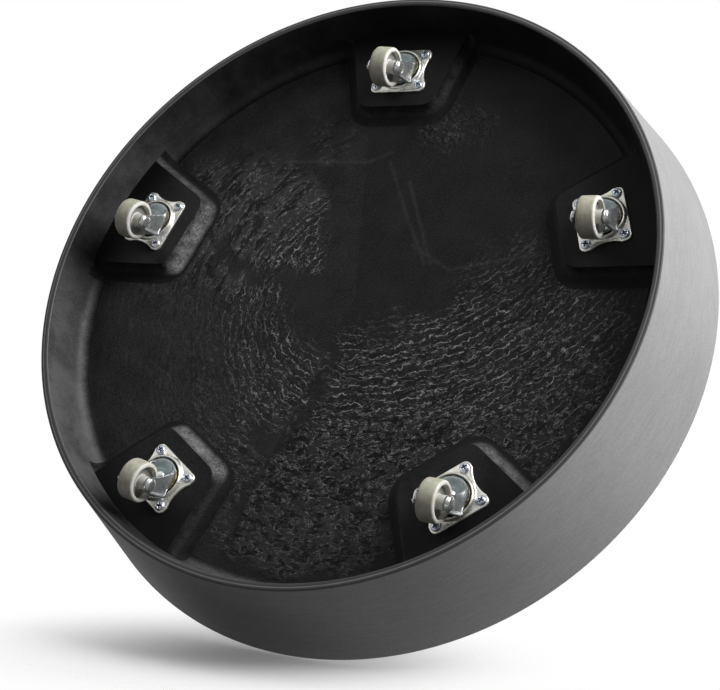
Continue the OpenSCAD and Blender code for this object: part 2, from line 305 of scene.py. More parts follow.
def lay_floor(name, place, finish, strips):
    """Strips from one depth and height to the next, across a place of their own, seen by the camera alone."""
    corners, faces = [], []
    for half_width, (near, near_z), (back, back_z) in strips:
        faces.append(tuple(range(len(corners), len(corners) + 4)))
        corners += [(-half_width, near, near_z), (half_width, near, near_z)]
        corners += [(half_width, back, back_z), (-half_width, back, back_z)]
    mesh = bpy.data.meshes.new(name)
    mesh.from_pydata(corners, [], faces)
    mesh.materials.append(finish)
    sheet = bpy.data.objects.new(name, mesh)
    sheet.matrix_world = place
    for kind in ("shadow", "diffuse", "glossy", "transmission"):
        setattr(sheet, "visible_" + kind, False)
    scene.collection.objects.link(sheet)
    return sheet


whole = [(FLOOR_SIZE, (-FLOOR_SIZE, 0.0), (FLOOR_SIZE, 0.0))]
lay_floor("floor", Matrix.Identity(4), floor_finish("floor_white", FLOOR_GLOW, FLOOR_FADE), whole)
print("floor laid under the wheels")

# %% Photo floor
PHOTO_TILT, PHOTO_ROLL = math.radians(4.0), math.radians(-2.5)
PATCH_GLOW, PATCH_FADE = 0.1, (0.0, 0.255)
PATCH_HALF, PATCH_DEEP, PATCH_LEFT = 0.26, 0.16, 0.03
STEP_HIGH, STEP_LEAN = 0.001, 0.0007

rolled_up = picture_up * math.cos(PHOTO_ROLL) - picture_right * math.sin(PHOTO_ROLL)
patch_up = (rolled_up * math.cos(PHOTO_TILT) + toward_viewer * math.sin(PHOTO_TILT)).normalized()
outward = Vector((-patch_up.x, -patch_up.y, 0.0)).normalized()
touch = outward * cad_high.x + Vector((0.0, 0.0, cad_high.z))
patch_side = (picture_right - patch_up * picture_right.dot(patch_up)).normalized()
patch_axes = Matrix((patch_side, patch_up.cross(patch_side), patch_up)).transposed().to_4x4()
patch_place = Matrix.Translation(touch - patch_side * PATCH_LEFT) @ patch_axes
patch_white = floor_finish("photo_floor_white", PATCH_GLOW, PATCH_FADE)
flat = [(PATCH_HALF, (-PATCH_DEEP, 0.0), (PATCH_DEEP, 0.0))]
mirrored = lay_floor("photo_floor_mirrored", patch_place, patch_white, flat)
mirrored.visible_glossy = True
mirrored.visible_camera = False
eye_place = patch_place.inverted() @ camera_place
steps, near = [], -PATCH_DEEP
while near < PATCH_DEEP:
    steps.append((PATCH_HALF, (near, -STEP_HIGH), (near + STEP_LEAN, 0.0)))
    near += STEP_LEAN + STEP_HIGH * (near - eye_place.y) / eye_place.z
lay_floor("photo_floor", patch_place, patch_white, steps)
print(len(steps), "steps, and the tray's edge touches them at", tuple(round(x, 3) for x in touch))

# %% [markdown]
# ## The lights
# A large soft light from the picture's right rakes across the hollow, so each wrinkle and skirt that
# faces it catches an edge of light. A weak fill near the viewer, a low light from the right for the
# wall and a faint one from the left keep the dark sides readable. The fifth hangs straight above for
# the views from the top, and reaches neither the hollow nor the leaning wall.

# %% Lamps
hollow_middle = Vector((0.0, 0.0, 0.05))
picture_lamps = {
    "key": ((0.69, 0.60, 0.40), 1.6, 1.1, 40.0),
    "fill": ((-0.5, 0.5, 1.0), 1.8, 1.2, 1.5),
    "low": ((0.75, -0.5, 0.1), 1.6, 1.0, 7.0),
    "left": ((-0.55, -0.45, 0.7), 1.6, 1.0, 0.7),
}


def soft_lamp(name, place, size, power):
    """A square soft light at a place, turned to the middle of the hollow."""
    data = bpy.data.lights.new(name, "AREA")
    data.size = size
    data.energy = power
    lamp = bpy.data.objects.new(name, data)
    facing = (hollow_middle - place).to_track_quat("-Z", "Y")
    lamp.matrix_world = Matrix.Translation(place) @ facing.to_matrix().to_4x4()
    scene.collection.objects.link(lamp)


for name, ((right, up, near), far, size, power) in picture_lamps.items():
    lamp_way = (picture_right * right + picture_up * up + toward_viewer * near).normalized()
    soft_lamp(name, hollow_middle + lamp_way * far, size, power)
soft_lamp("top", Vector((0.0, 0.0, 1.7)), 1.2, 22.0)

# %% [markdown]
# ## The tray's section
# The tray is one thick moulding: a wall that leans outwards, a dish above for the pot, and a hollow
# below for the casters. Half of its section, turned round the axis, gives everything but the pads.
# Corners are rounded as in the solid model, so both have the same outline. Sizes are in millimetres.

# %% Section of the tray
RIM_R, RIM_W = 240.0, 5.2
WALL_H, WALL_FLARE, LIP_W = 97.0, 17.0, 5.5
RECESS_H, RECESS_LEAN, RECESS_FILLET = 40.0, 6.8, 9.0
DECK_T, DISH_LEAN, DISH_FILLET = 6.0, 11.0, 10.0
EDGE_ROUND = 1.2
LIP_R = RIM_R + WALL_FLARE
RECESS_R = RIM_R - RIM_W - RECESS_LEAN
DISH_Z = RECESS_H + DECK_T
RIM_Z = cad_high.z / MM - WALL_H


def rounded_path(corners, radii, steps):
    """An open path of points whose inner corners are arcs, each of its own radius."""
    corners = [np.array(c, float) for c in corners]
    path = [corners[0]]
    for before, corner, after, radius in zip(corners, corners[1:], corners[2:], radii):
        back = (before - corner) / np.linalg.norm(before - corner)
        on = (after - corner) / np.linalg.norm(after - corner)
        half = math.acos(np.dot(back, on)) / 2
        centre = corner + (back + on) / np.linalg.norm(back + on) * radius / math.sin(half)
        start, end = (corner + way * radius / math.tan(half) - centre for way in (back, on))
        turn = math.atan2(start[0] * end[1] - start[1] * end[0], np.dot(start, end))
        for angle in np.linspace(0.0, turn, steps + 1):
            c, s = math.cos(angle), math.sin(angle)
            path.append(centre + np.array((c * start[0] - s * start[1], s * start[0] + c * start[1])))
    path.append(corners[-1])
    return np.array(path)


FILLET_STEPS, EDGE_STEPS = 6, 5
hollow_path = rounded_path(
    [(0.0, RECESS_H), (RECESS_R, RECESS_H), (RIM_R - RIM_W, 0.0), (RIM_R, 0.0)],
    [RECESS_FILLET, EDGE_ROUND], FILLET_STEPS,
)[: FILLET_STEPS + 3]
shell_path = rounded_path(
    [
        (RECESS_R, RECESS_H), (RIM_R - RIM_W, 0.0), (RIM_R, 0.0), (LIP_R, WALL_H),
        (LIP_R - LIP_W, WALL_H), (LIP_R - LIP_W - DISH_LEAN, DISH_Z), (0.0, DISH_Z),
    ],
    [EDGE_ROUND, EDGE_ROUND, EDGE_ROUND, EDGE_ROUND, DISH_FILLET], EDGE_STEPS,
)[1:-1]
print("hollow meets the rim at", hollow_path[-1].round(2), "shell starts at", shell_path[0].round(2))

# %% [markdown]
# ## The caster pads
# Each caster sits on a flat raised pad that grows out of the wall, with a hollow skirt running down
# to the floor of the recess. A pad could be cut out with booleans, but then its edges would be hard
# to texture. Here a formula gives the distance to the pad's edge, and the height follows from it.

# %% Pad shape
CASTERS = 5
WHEEL_R, WHEEL_W, TRAIL, SWING_ROOM = 15.0, 13.5, 12.0, 8.0
CASTER_CIRCLE = RECESS_R - SWING_ROOM - math.hypot(TRAIL + WHEEL_R, WHEEL_W / 2)
PAD_T, PAD_SKIRT, PAD_CORNER = 12.0, 11.0, 11.0
PAD_FLARE = math.radians(16.0)
plate_low, plate_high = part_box("caster_1_top_plate")
PAD_IN = plate_low.x / MM - CASTER_CIRCLE - 12.0
PAD_HALF = plate_high.y / MM + 7.5
pad_turn = math.pi / 4 + PAD_FLARE / 2
corner_reach = PAD_CORNER / math.tan(pad_turn)
corner_x = PAD_IN + PAD_CORNER
corner_y = PAD_HALF - corner_reach


def caster_angle(k):
    return 2 * math.pi * k / CASTERS


def pad_distance(x, y):
    """Distance in millimetres outside the nearest pad's edge, negative on the pad."""
    nearest = np.full(np.shape(x), 1e9)
    for k in range(CASTERS):
        c, s = math.cos(caster_angle(k)), math.sin(caster_angle(k))
        along = c * x + s * y - CASTER_CIRCLE
        across = np.abs(c * y - s * x)
        front = PAD_IN - along
        side = (across - PAD_HALF) * math.cos(PAD_FLARE) - (along - PAD_IN) * math.sin(PAD_FLARE)
        dx, dy = along - corner_x, across - corner_y
        round_in = (dy > 0) & (dx * math.cos(PAD_FLARE) + dy * math.sin(PAD_FLARE) < 0)
        far = np.where(round_in, np.hypot(dx, dy) - PAD_CORNER, np.maximum(front, side))
        nearest = np.minimum(nearest, np.where(along < -CASTER_CIRCLE, 1e9, far))
    return nearest


def skirt_height(out):
    """Height of the skirt above the pad's face, at a distance outside the pad's edge."""
    share = np.clip(out / PAD_SKIRT, 0.0, 1.0)
    return PAD_T * np.sqrt(1.0 - (1.0 - share) ** 2)


def hollow_height(x, y):
    """Height of the hollow's surface above the rim, before any texture."""
    plain = np.interp(np.hypot(x, y), hollow_path[:, 0], hollow_path[:, 1])
    return np.minimum(plain, RECESS_H - PAD_T + skirt_height(pad_distance(x, y)))


print("pad edge", round(PAD_IN, 2), "from the caster, half width", round(PAD_HALF, 2))

# %% [markdown]
# ## The wrinkled floor of the hollow
# The plastic cooled in wrinkles while it flowed out over the mould. At the right they run in rings
# round the gate, where it came in, and break up into bricks far from it. At the left they run round
# the axis. Smooth bands lie where the flow ran fast, and faint lines where two fronts met. Cells
# round scattered seeds give such a net. Lifting the plan onto a steep cone before measuring distances
# stretches the cells along the rings, without a seam anywhere. The tables below say how much there
# is of each, by the direction in degrees from the gate or from the axis.

# %% Where the floor is wrinkled
GATE, AXIS = (-100.0, 70.0), (0.0, 0.0)
OUTER_FADE = (206.0, 222.0)
LEFT_FROM, LEFT_TO = 340.0, 135.0
right_strength = {150: 0.1, 236: 0.12, 250: 0.22, 262: 0.45, 275: 0.75, 292: 1.0, 330: 1.0, 350: 0.9}
right_start = {240: 90, 270: 95, 300: 110, 330: 115, 350: 115}
right_bricks = {255: 0.0, 275: 0.35, 295: 0.6, 315: 0.95, 350: 0.95, 20: 0.0}
right_slabs = {270: 0.0, 290: 0.4, 305: 0.8, 350: 0.9, 20: 0.0}
right_lines = {150: 0.5, 255: 0.5, 270: 0.8, 290: 1.0, 325: 1.0, 345: 0.7}
left_strength = {
    340: 0.75, 0: 0.6, 25: 0.45, 48: 0.45, 62: 0.75, 78: 1.0, 98: 1.0, 112: 0.6, 124: 0.1, 150: 0.1,
}
left_slabs = {340: 0.3, 25: 0.1, 50: 0.2, 66: 0.8, 80: 1.0, 125: 0.9, 150: 0.0}
left_lines = {340: 0.6, 0: 0.45, 20: 0.15, 45: 0.12, 62: 0.3, 80: 0.75, 120: 0.85}
sprays = [
    ((-143, 54), 34.0, 0.5), ((-160, 30), 26.0, 0.3), ((-84, 122), 34.0, 0.3), ((-146, -94), 44.0, 0.35),
]
smooth_beyond = [
    ((-97, 70), (-7, 196), (-30.0, 14.0), 0.75),
    ((-10, 35), (-64, 114), (-14.0, 4.0), 0.92),
]
flow_bands = [
    ([(8, 24), (19, 46), (27, 68), (38, 86), (40, 106), (42, 127), (43, 146)], 8.0),
    ([(20, 8), (33, 1), (43, -14), (53, -29), (73, -34), (89, -39), (106, -39), (124, -30)], 10.0),
    ([(116, -38), (150, -54), (190, -70)], 4.0),
    ([(22, 38), (-40, -55)], 14.0),
]
flow_fronts = [
    [(-44, 143), (-53, 131), (-86, 83), (-104, 73)],
    [(-97, 68), (-75, 25), (-53, -22)],
    [(-94, 41), (-56, -26)],
    [(-58, -3), (-61, -41), (-86, -64), (-129, -104)],
]


def smooth_step(value, low, high):
    share = np.clip((value - low) / (high - low), 0.0, 1.0)
    return share * share * (3.0 - 2.0 * share)


def gate_distance(x, y):
    return np.hypot(x - GATE[0], y - GATE[1])


def by_angle(table, x, y, centre=GATE):
    """A value given at some directions round a centre, in degrees, and mixed between them."""
    turns = sorted(table)
    turn = np.degrees(np.arctan2(y - centre[1], x - centre[0])) % 360.0
    return np.interp(turn, turns, [table[t] for t in turns], period=360.0)


def is_left(x, y):
    """True left of the middle of the picture, where the wrinkles run round the axis and not the gate."""
    turn = np.degrees(np.arctan2(y, x)) % 360.0
    return (turn > LEFT_FROM) | (turn < LEFT_TO)


def past_front(x, y, start, end):
    """Distance to the left of a straight front from start to end."""
    dx, dy = end[0] - start[0], end[1] - start[1]
    return ((y - start[1]) * dx - (x - start[0]) * dy) / math.hypot(dx, dy)


def line_distance(x, y, line):
    """Distance to a line of points."""
    best = np.full(np.shape(x), 1e9)
    for (ax, ay), (bx, by) in zip(line, line[1:]):
        dx, dy = bx - ax, by - ay
        along = np.clip(((x - ax) * dx + (y - ay) * dy) / (dx**2 + dy**2), 0, 1)
        best = np.minimum(best, np.hypot(x - ax - along * dx, y - ay - along * dy))
    return best


def front_distance(x, y):
    return np.min([line_distance(x, y, line) for line in flow_fronts], axis=0)


def wobble(x, y, size, seed):
    """Slow waves from -1 to 1, of about a given size, that differ with the seed."""
    draw = np.random.default_rng(seed)
    total = 0.0
    for _ in range(6):
        turn, phase = draw.uniform(0.0, 2.0 * math.pi, 2)
        pace = 2.0 * math.pi / size * draw.uniform(0.7, 1.5)
        total = total + np.sin(pace * (math.cos(turn) * x + math.sin(turn) * y) + phase)
    return total / 6.0


def swayed(x, y, *waves):
    """A place moved by slow waves, each with its reach, its size and the first of its two seeds."""
    sx, sy = x, y
    for reach, size, seed in waves:
        sx = sx + reach * wobble(x, y, size, seed)
        sy = sy + reach * wobble(x, y, size, seed + 1)
    return sx, sy


def spray_share(x, y):
    """Small places near the top where the smooth floor is lightly creased."""
    shares = []
    for (sx, sy), reach, level in sprays:
        shares.append(level * (1.0 - smooth_step(np.hypot(x - sx, y - sy), 0.25 * reach, reach)))
    return np.max(shares, axis=0)


print("strewn with creases:", len(sprays), "places; smooth bands:", len(flow_bands))

# %% How strongly it is wrinkled
SWAYS = (10.0, 60.0, 1), (7.0, 20.0, 11)
RIGHT_RAMP, RIGHT_FADE, RIGHT_LOSS = 90.0, (260.0, 340.0), 0.35
LEFT_RAMP, LEFT_FADE, LEFT_LOSS = (24.0, 72.0), (130.0, 200.0), 0.4
BRICKS_FROM, BRICKS_MOST = (190.0, 260.0), 0.95


def wrinkle_strength(x, y):
    """How strongly the floor is wrinkled, from 0 to 1."""
    wx, wy = swayed(x, y, *SWAYS)
    far, off_gate = np.hypot(wx, wy), gate_distance(wx, wy)
    start = by_angle(right_start, wx, wy)
    right = smooth_step(off_gate, start, start + RIGHT_RAMP) * by_angle(right_strength, wx, wy)
    right = right * (1.0 - RIGHT_LOSS * smooth_step(off_gate, *RIGHT_FADE))
    left = smooth_step(far, *LEFT_RAMP) * by_angle(left_strength, wx, wy, AXIS)
    left = left * (1.0 - LEFT_LOSS * smooth_step(far, *LEFT_FADE))
    for front_start, front_end, ramp, loss in smooth_beyond:
        left = left * (1.0 - loss * smooth_step(past_front(wx, wy, front_start, front_end), *ramp))
    share = np.where(is_left(x, y), left, right)
    share = np.maximum(share, spray_share(wx, wy))
    share = share * (1.0 - smooth_step(far, *OUTER_FADE))
    for line, half in flow_bands:
        share = share * (0.2 + 0.8 * smooth_step(line_distance(wx, wy, line), 0.1 * half, 1.6 * half))
    share = share * smooth_step(pad_distance(x, y), PAD_SKIRT - 1.5, PAD_SKIRT + 2.0)
    return np.clip(share * (0.85 + 0.4 * wobble(x, y, 35.0, 3)), 0.0, 1.0)


def brick_share(x, y):
    """0 where the wrinkles are long rows, 1 where they broke up into bricks."""
    share = by_angle(right_bricks, x, y) * smooth_step(gate_distance(x, y), *BRICKS_FROM)
    share = np.maximum(share, 2.0 * spray_share(x, y))
    return np.where(is_left(x, y), 0.0, np.minimum(share, BRICKS_MOST))


def row_distance(x, y):
    """Distance from the middle of the rings that the wrinkles follow."""
    return np.where(is_left(x, y), np.hypot(x, y), gate_distance(x, y))


tried = np.array(((30.0, 110.0), (-110.0, 60.0)))
print("strength at the left and at the top:", wrinkle_strength(*tried.T))

# %% Cells of the wrinkles
ROW_PITCH, ROW_LENGTH, ROUND_CELL = 5.6, 17.0, 8.0
RIDGE_WIDE, TILT_WIDE = 0.22, 0.5


def lifted(x, y, roundness):
    """A place on a steep cone, where a ring's neighbours are near and the next ring is far."""
    length = ROW_LENGTH + (ROUND_CELL - ROW_LENGTH) * roundness
    pitch = ROW_PITCH + (ROUND_CELL - ROW_PITCH) * roundness
    rise = np.sqrt(np.maximum(1.0 / pitch**2 - 1.0 / length**2, 0.0))
    return np.stack([x / length, y / length, row_distance(x, y) * rise], -1)


def wrinkle_seeds(seed):
    """Seeds of the cells, scattered over the floor, about one to each cell's area."""
    draw = np.random.default_rng(seed)
    count = int(math.pi * RECESS_R**2 / (ROW_PITCH * ROW_LENGTH))
    r = RECESS_R * np.sqrt(draw.uniform(0.0, 1.0, count))
    turn = draw.uniform(0.0, 2.0 * math.pi, count)
    return r * np.cos(turn), r * np.sin(turn)


def wrinkle_height(x, y):
    """Height from 0 to 1 of the ridges between cells, and from -1 to 1 of each cell's own lift."""
    sx, sy = wrinkle_seeds(5)
    places = lifted(sx, sy, brick_share(sx, sy))
    tree = KDTree(len(places))
    for i, place in enumerate(places):
        tree.insert(place, i)
    tree.balance()
    level = np.random.default_rng(6).uniform(-1.0, 1.0, len(places))
    spots = lifted(*swayed(x, y, (2.2, 14.0, 7), (5.0, 45.0, 9)), brick_share(x, y))
    ridge = np.empty(len(x))
    lift = np.empty(len(x))
    for i, spot in enumerate(spots):
        (_, first, near), (_, _, next_near) = tree.find_n(spot, 2)
        gap = next_near - near
        ridge[i] = math.exp(-((gap / RIDGE_WIDE) ** 2))
        lift[i] = level[first] * min(1.0, gap / TILT_WIDE)
    return ridge, lift


print("cells:", len(wrinkle_seeds(5)[0]))

# %% [markdown]
# ## One mesh for the whole tray
# The hollow is a height over the plan, so its mesh can be drawn flat: rings up the wall, lines round
# each pad and its skirt, and points strewn over the floor, close where it is wrinkled. A constrained
# Delaunay net joins them and keeps every line as an edge. The shell is turned like a pot on a lathe,
# and shares the ring of points at the rim, so the tray is one closed skin.

# %% Points and lines of the hollow
AROUND = 360
FINE, COARSE = 1.5, 3.4
SKIRT_RINGS = 8
PAD_GRID = 6.0
ring_turns = np.arange(AROUND) * 2.0 * math.pi / AROUND


def ring_points(radius):
    return np.stack([radius * np.cos(ring_turns), radius * np.sin(ring_turns)], -1)


def pad_line(out):
    """The line round a pad at a distance outside its edge, from wall to wall, for the first caster."""
    end = RIM_R - CASTER_CIRCLE
    tangent = math.pi / 2 + PAD_FLARE
    arc = np.linspace(tangent, math.pi, 10)
    corner = np.stack([np.cos(arc), np.sin(arc)], -1) * (PAD_CORNER + out) + (corner_x, corner_y)
    start = np.array((end, corner[0, 1] + (end - corner[0, 0]) * math.tan(PAD_FLARE)))
    steps = np.linspace(0.0, 1.0, 30)[:-1, None]
    half = np.concatenate([start + (corner[0] - start) * steps, corner])
    flip = half[::-1] * (1.0, -1.0)
    middle = np.linspace(half[-1], flip[0], 22)[1:-1]
    return np.concatenate([half, middle, flip]) + (CASTER_CIRCLE, 0.0)


def cut_at_wall(line, height):
    """The part of a line, at one height, that lies inside the hollow's wall."""
    def inside(p):
        return np.interp(math.hypot(*p), hollow_path[:, 0], hollow_path[:, 1]) > height

    kept = [i for i, p in enumerate(line) if inside(p)]
    first, last = kept[0], kept[-1]
    ends = []
    for out_i, in_i in ((first - 1, first), (last + 1, last)):
        low, high = line[out_i], line[in_i]
        for _ in range(30):
            middle = (low + high) / 2
            low, high = (low, middle) if inside(middle) else (middle, high)
        ends.append(high)
    return np.concatenate([[ends[0]], line[first : last + 1], [ends[1]]])


points, edges = [], []


def add_line(line, closed):
    start = sum(len(p) for p in points)
    points.append(np.asarray(line))
    count = len(line)
    edges.extend((start + i, start + (i + 1) % count) for i in range(count if closed else count - 1))


wall_rings = [hollow_path[-1, 0]]
pad_wall_r = np.interp(RECESS_H - PAD_T, hollow_path[::-1, 1], hollow_path[::-1, 0])
wall_rings += list(np.linspace(hollow_path[-1, 0], pad_wall_r, 5)[1:])
wall_rings += list(np.linspace(pad_wall_r, hollow_path[-2, 0], 3)[1:])
wall_rings += list(hollow_path[1 : FILLET_STEPS + 2, 0][::-1])[1:]
for radius in wall_rings:
    add_line(ring_points(radius), closed=True)
skirt_turns = np.linspace(0.0, math.pi / 2, SKIRT_RINGS)
for k in range(CASTERS):
    c, s = math.cos(caster_angle(k)), math.sin(caster_angle(k))
    for turn in skirt_turns:
        line = cut_at_wall(
            pad_line(PAD_SKIRT * (1.0 - math.cos(turn))),
            min(RECESS_H - PAD_T + PAD_T * math.sin(turn), RECESS_H - 0.02),
        )
        add_line(line @ np.array(((c, s), (-s, c))), closed=False)
print("lines:", len(wall_rings), "rings and", CASTERS * SKIRT_RINGS, "round the pads")

# %% Points strewn over the floor
FLOOR_EDGE = hollow_path[1, 0]
JITTER, WALL_ROOM = 0.22, 0.7
FINE_ROOM, COARSE_ROOM, PAD_ROOM = 0.8, 1.6, 2.5
ROUGH_FROM, FRONT_REACH = 0.05, 4.0


def strewn(pitch, seed):
    """Points of a triangular grid, each moved a little, inside the floor's edge."""
    draw = np.random.default_rng(seed)
    rows = np.arange(-FLOOR_EDGE, FLOOR_EDGE, pitch * math.sqrt(3) / 2)
    x = np.arange(-FLOOR_EDGE, FLOOR_EDGE, pitch)
    grid_x = x[None, :] + (np.arange(len(rows)) % 2)[:, None] * pitch / 2
    grid_y = np.repeat(rows[:, None], len(x), 1)
    spots = np.stack([grid_x, grid_y], -1).reshape(-1, 2)
    spots = spots + draw.uniform(-JITTER, JITTER, spots.shape) * pitch
    return spots[np.hypot(*spots.T) < FLOOR_EDGE - WALL_ROOM * pitch]


def is_rough(spots):
    """True where the floor is wrinkled or near a flow front, and needs close points."""
    return (wrinkle_strength(*spots.T) > ROUGH_FROM) | (front_distance(*spots.T) < FRONT_REACH)


floor_fine = strewn(FINE, 21)
clear = pad_distance(*floor_fine.T) > PAD_SKIRT + FINE_ROOM
floor_fine = floor_fine[is_rough(floor_fine) & clear]
floor_coarse = strewn(COARSE, 22)
clear = pad_distance(*floor_coarse.T) > PAD_SKIRT + COARSE_ROOM
floor_coarse = floor_coarse[~is_rough(floor_coarse) & clear]
on_pads = strewn(PAD_GRID, 23)
on_pads = on_pads[pad_distance(*on_pads.T) < -PAD_ROOM]
points += [floor_fine, floor_coarse, on_pads]
plan = np.concatenate(points)
print("points:", len(plan), "of them fine", len(floor_fine))

# %% The net over the hollow
RIDGE_MM, TILT_MM, SWELL_MM = 0.16, 0.10, 0.35
SWELL_SIZE, SWELL_SEED, SWELL_FROM, SWELL_TO = 70.0, 31, 40.0, 190.0
LEAST_WRINKLED = 0.01
net = delaunay_2d_cdt([Vector(p) for p in plan], edges, [], 0, 1e-5)
net_plan = np.array([tuple(v) for v in net[0]])
net_faces = np.array([f for f in net[2]])
net_faces = net_faces[np.hypot(*net_plan[net_faces].mean(1).T) < hollow_path[-1, 0]]
net_x, net_y = net_plan.T
far_out, off_pad = np.hypot(net_x, net_y), pad_distance(net_x, net_y)
strength = wrinkle_strength(net_x, net_y)
strength[far_out > FLOOR_EDGE] = 0.0
crest, lift = np.zeros((2, len(net_x)))
rough = strength > LEAST_WRINKLED
crest[rough], lift[rough] = wrinkle_height(net_x[rough], net_y[rough])
swell = SWELL_MM * wobble(net_x, net_y, SWELL_SIZE, SWELL_SEED)
swell = swell * smooth_step(off_pad, PAD_SKIRT, SWELL_FROM)
swell = swell * (1.0 - smooth_step(far_out, SWELL_TO, FLOOR_EDGE))
net_z = hollow_height(net_x, net_y) - strength * (RIDGE_MM * crest + TILT_MM * lift) - swell
print("net:", len(net_plan), "points and", len(net_faces), "faces")

# %% [markdown]
# ## Closing the tray
# The rest of the section is turned round the axis: rim, leaning wall, lip and dish. The first ring of
# the lathe is the last ring of the net, so no seam is left. The patterns of the finish later need to
# know where a point lies. So every point keeps some numbers: how wrinkled it is, and how much wear,
# dust, painted light and painted shade it takes.

# %% Build a piece from points and faces
def make_piece(name, places, faces, body):
    """A new smooth mesh from points in millimetres, riding on a body and given a name."""
    mesh = bpy.data.meshes.new(name)
    mesh.from_pydata((np.asarray(places) * MM).tolist(), [], [tuple(f) for f in faces])
    mesh.polygons.foreach_set("use_smooth", [True] * len(mesh.polygons))
    piece = bpy.data.objects.new(name, mesh)
    scene.collection.objects.link(piece)
    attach(piece, body)
    return piece


def store(piece, **layers):
    """Keeps numbers for a piece's points, for its finish to read. Points past the last one get 0."""
    for name, values in layers.items():
        full = np.zeros(len(piece.data.vertices), np.float32)
        full[: len(values)] = values
        piece.data.attributes.new(name, "FLOAT", "POINT").data.foreach_set("value", full)


def band_faces(here, on, around):
    """Quads between two rings of points, from the first point of each."""
    nexts = [(i + 1) % around for i in range(around)]
    return [(here + i, here + j, on + j, on + i) for i, j in enumerate(nexts)]


def lathe_faces(rings, around, start=0):
    """Quads between neighbouring rings of points, each ring with the same count."""
    starts = [start + ring * around for ring in range(rings)]
    return [face for here, on in zip(starts, starts[1:]) for face in band_faces(here, on, around)]


print("pieces can be made")

# %% The tray
DISH_RINGS, SHARP_TURN = (215.0, 150.0, 75.0), math.radians(40.0)
turned = [(r, z) for r, z in shell_path[1:]] + [(r, DISH_Z) for r in DISH_RINGS]
shell = np.concatenate([np.c_[ring_points(r), np.full(AROUND, z)] for r, z in turned])
assert np.allclose(net_plan[:AROUND], ring_points(hollow_path[-1, 0]), atol=1e-3)
tray_places = np.concatenate([np.c_[net_plan, net_z], shell, [(0.0, 0.0, DISH_Z)]])
tray_places[:, 2] += RIM_Z
first_shell, centre = len(net_plan), len(tray_places) - 1
last_ring = centre - AROUND
shell_faces = band_faces(0, first_shell, AROUND) + lathe_faces(len(turned), AROUND, first_shell)
shell_faces += [(last_ring + i, last_ring + (i + 1) % AROUND, centre) for i in range(AROUND)]
tray_faces = net_faces[:, ::-1].tolist() + shell_faces
tray = make_piece("tray_moulding", tray_places, tray_faces, "tray")
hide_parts("tray")
tray.data.set_sharp_from_angle(angle=SHARP_TURN)
print("tray:", len(tray.data.vertices), "points,", len(tray.data.polygons), "faces")

# %% What the floor's points keep
FRONT_WIDE = 1.2
LEFT_SLABS_FROM, RIGHT_SLABS_FROM = (75.0, 115.0), (190.0, 250.0)
LEFT_LINES_FROM, RIGHT_LINES_TO, RIGHT_LINES_LOSS = (85.0, 130.0), (250.0, 330.0), 0.55
left_here, off_gate = is_left(net_x, net_y), gate_distance(net_x, net_y)
slab = np.where(
    left_here,
    by_angle(left_slabs, net_x, net_y, AXIS) * smooth_step(far_out, *LEFT_SLABS_FROM),
    by_angle(right_slabs, net_x, net_y) * smooth_step(off_gate, *RIGHT_SLABS_FROM),
)
lined = np.where(
    left_here,
    1.0 + (by_angle(left_lines, net_x, net_y, AXIS) - 1.0) * smooth_step(far_out, *LEFT_LINES_FROM),
    by_angle(right_lines, net_x, net_y) * (1.0 - RIGHT_LINES_LOSS * smooth_step(off_gate, *RIGHT_LINES_TO)),
)
store(
    tray, wrinkle=strength, roundness=brick_share(net_x, net_y), slab=slab, lined=lined, left=left_here,
    front=np.exp(-((front_distance(net_x, net_y) / FRONT_WIDE) ** 2)),
)
print("lined on average:", lined.mean().round(2))

# %% What the pads' and walls' points keep
# Painted light and some wear on each caster's skirt: at its front, on one side and on the other.
PAD_WEAR_AND_LIGHT = np.array((
    (1.0, 0.1, 0.2), (1.0, 0.12, 0.45), (0.12, 0.15, 0.2), (0.15, 0.3, 0.1), (0.25, 0.8, 0.3),
))
# Dust on each pad and painted shade: less on pads in shade, and less towards the wall.
PAD_DUST_AND_SHADE = np.array((0.9, 1.0, 0.5, 0.55, 0.8))
SKIRT_ENDS, SIDE_FROM, DUST_AND_SHADE_TO = (0.85, 1.15), (10.0, 70.0), (-22.0, 30.0)
# Painted light and shade round the inner wall, by direction from the axis: high where the light falls, low in
# shade. It also sets how many scratches show.
wall_scuffs_and_light = {
    0: 0.3, 12: 1.0, 32: 0.95, 48: 0.66, 60: 0.2, 75: 0.55, 90: 0.33, 115: 0.22, 150: 0.12, 190: 0.08,
    230: 0.2, 300: 0.8, 340: 0.95, 350: 0.2,
}
nearest = np.round(np.arctan2(net_y, net_x) * CASTERS / (2.0 * math.pi)).astype(int) % CASTERS
pad_turns = 2.0 * math.pi * nearest / CASTERS
along = np.cos(pad_turns) * net_x + np.sin(pad_turns) * net_y - CASTER_CIRCLE
across = np.cos(pad_turns) * net_y - np.sin(pad_turns) * net_x
corner_turn = np.degrees(np.arctan2(np.abs(across) - corner_y, corner_x - along))
front_wear_and_light, low_wear_and_light, high_wear_and_light = PAD_WEAR_AND_LIGHT[nearest].T
side_wear_and_light = np.where(across < 0.0, low_wear_and_light, high_wear_and_light)
store(
    tray, foot=np.clip(off_pad / PAD_SKIRT, 0.0, 2.0), scuffed=by_angle(wall_scuffs_and_light, net_x, net_y, AXIS),
    skirt=1.0 - smooth_step(off_pad, SKIRT_ENDS[0] * PAD_SKIRT, SKIRT_ENDS[1] * PAD_SKIRT),
    worn=front_wear_and_light + (side_wear_and_light - front_wear_and_light) * smooth_step(corner_turn, *SIDE_FROM),
    dusty=PAD_DUST_AND_SHADE[nearest] * (1.0 - smooth_step(along, *DUST_AND_SHADE_TO)),
)
print("numbers kept:", [layer.name for layer in tray.data.attributes if not layer.is_internal])

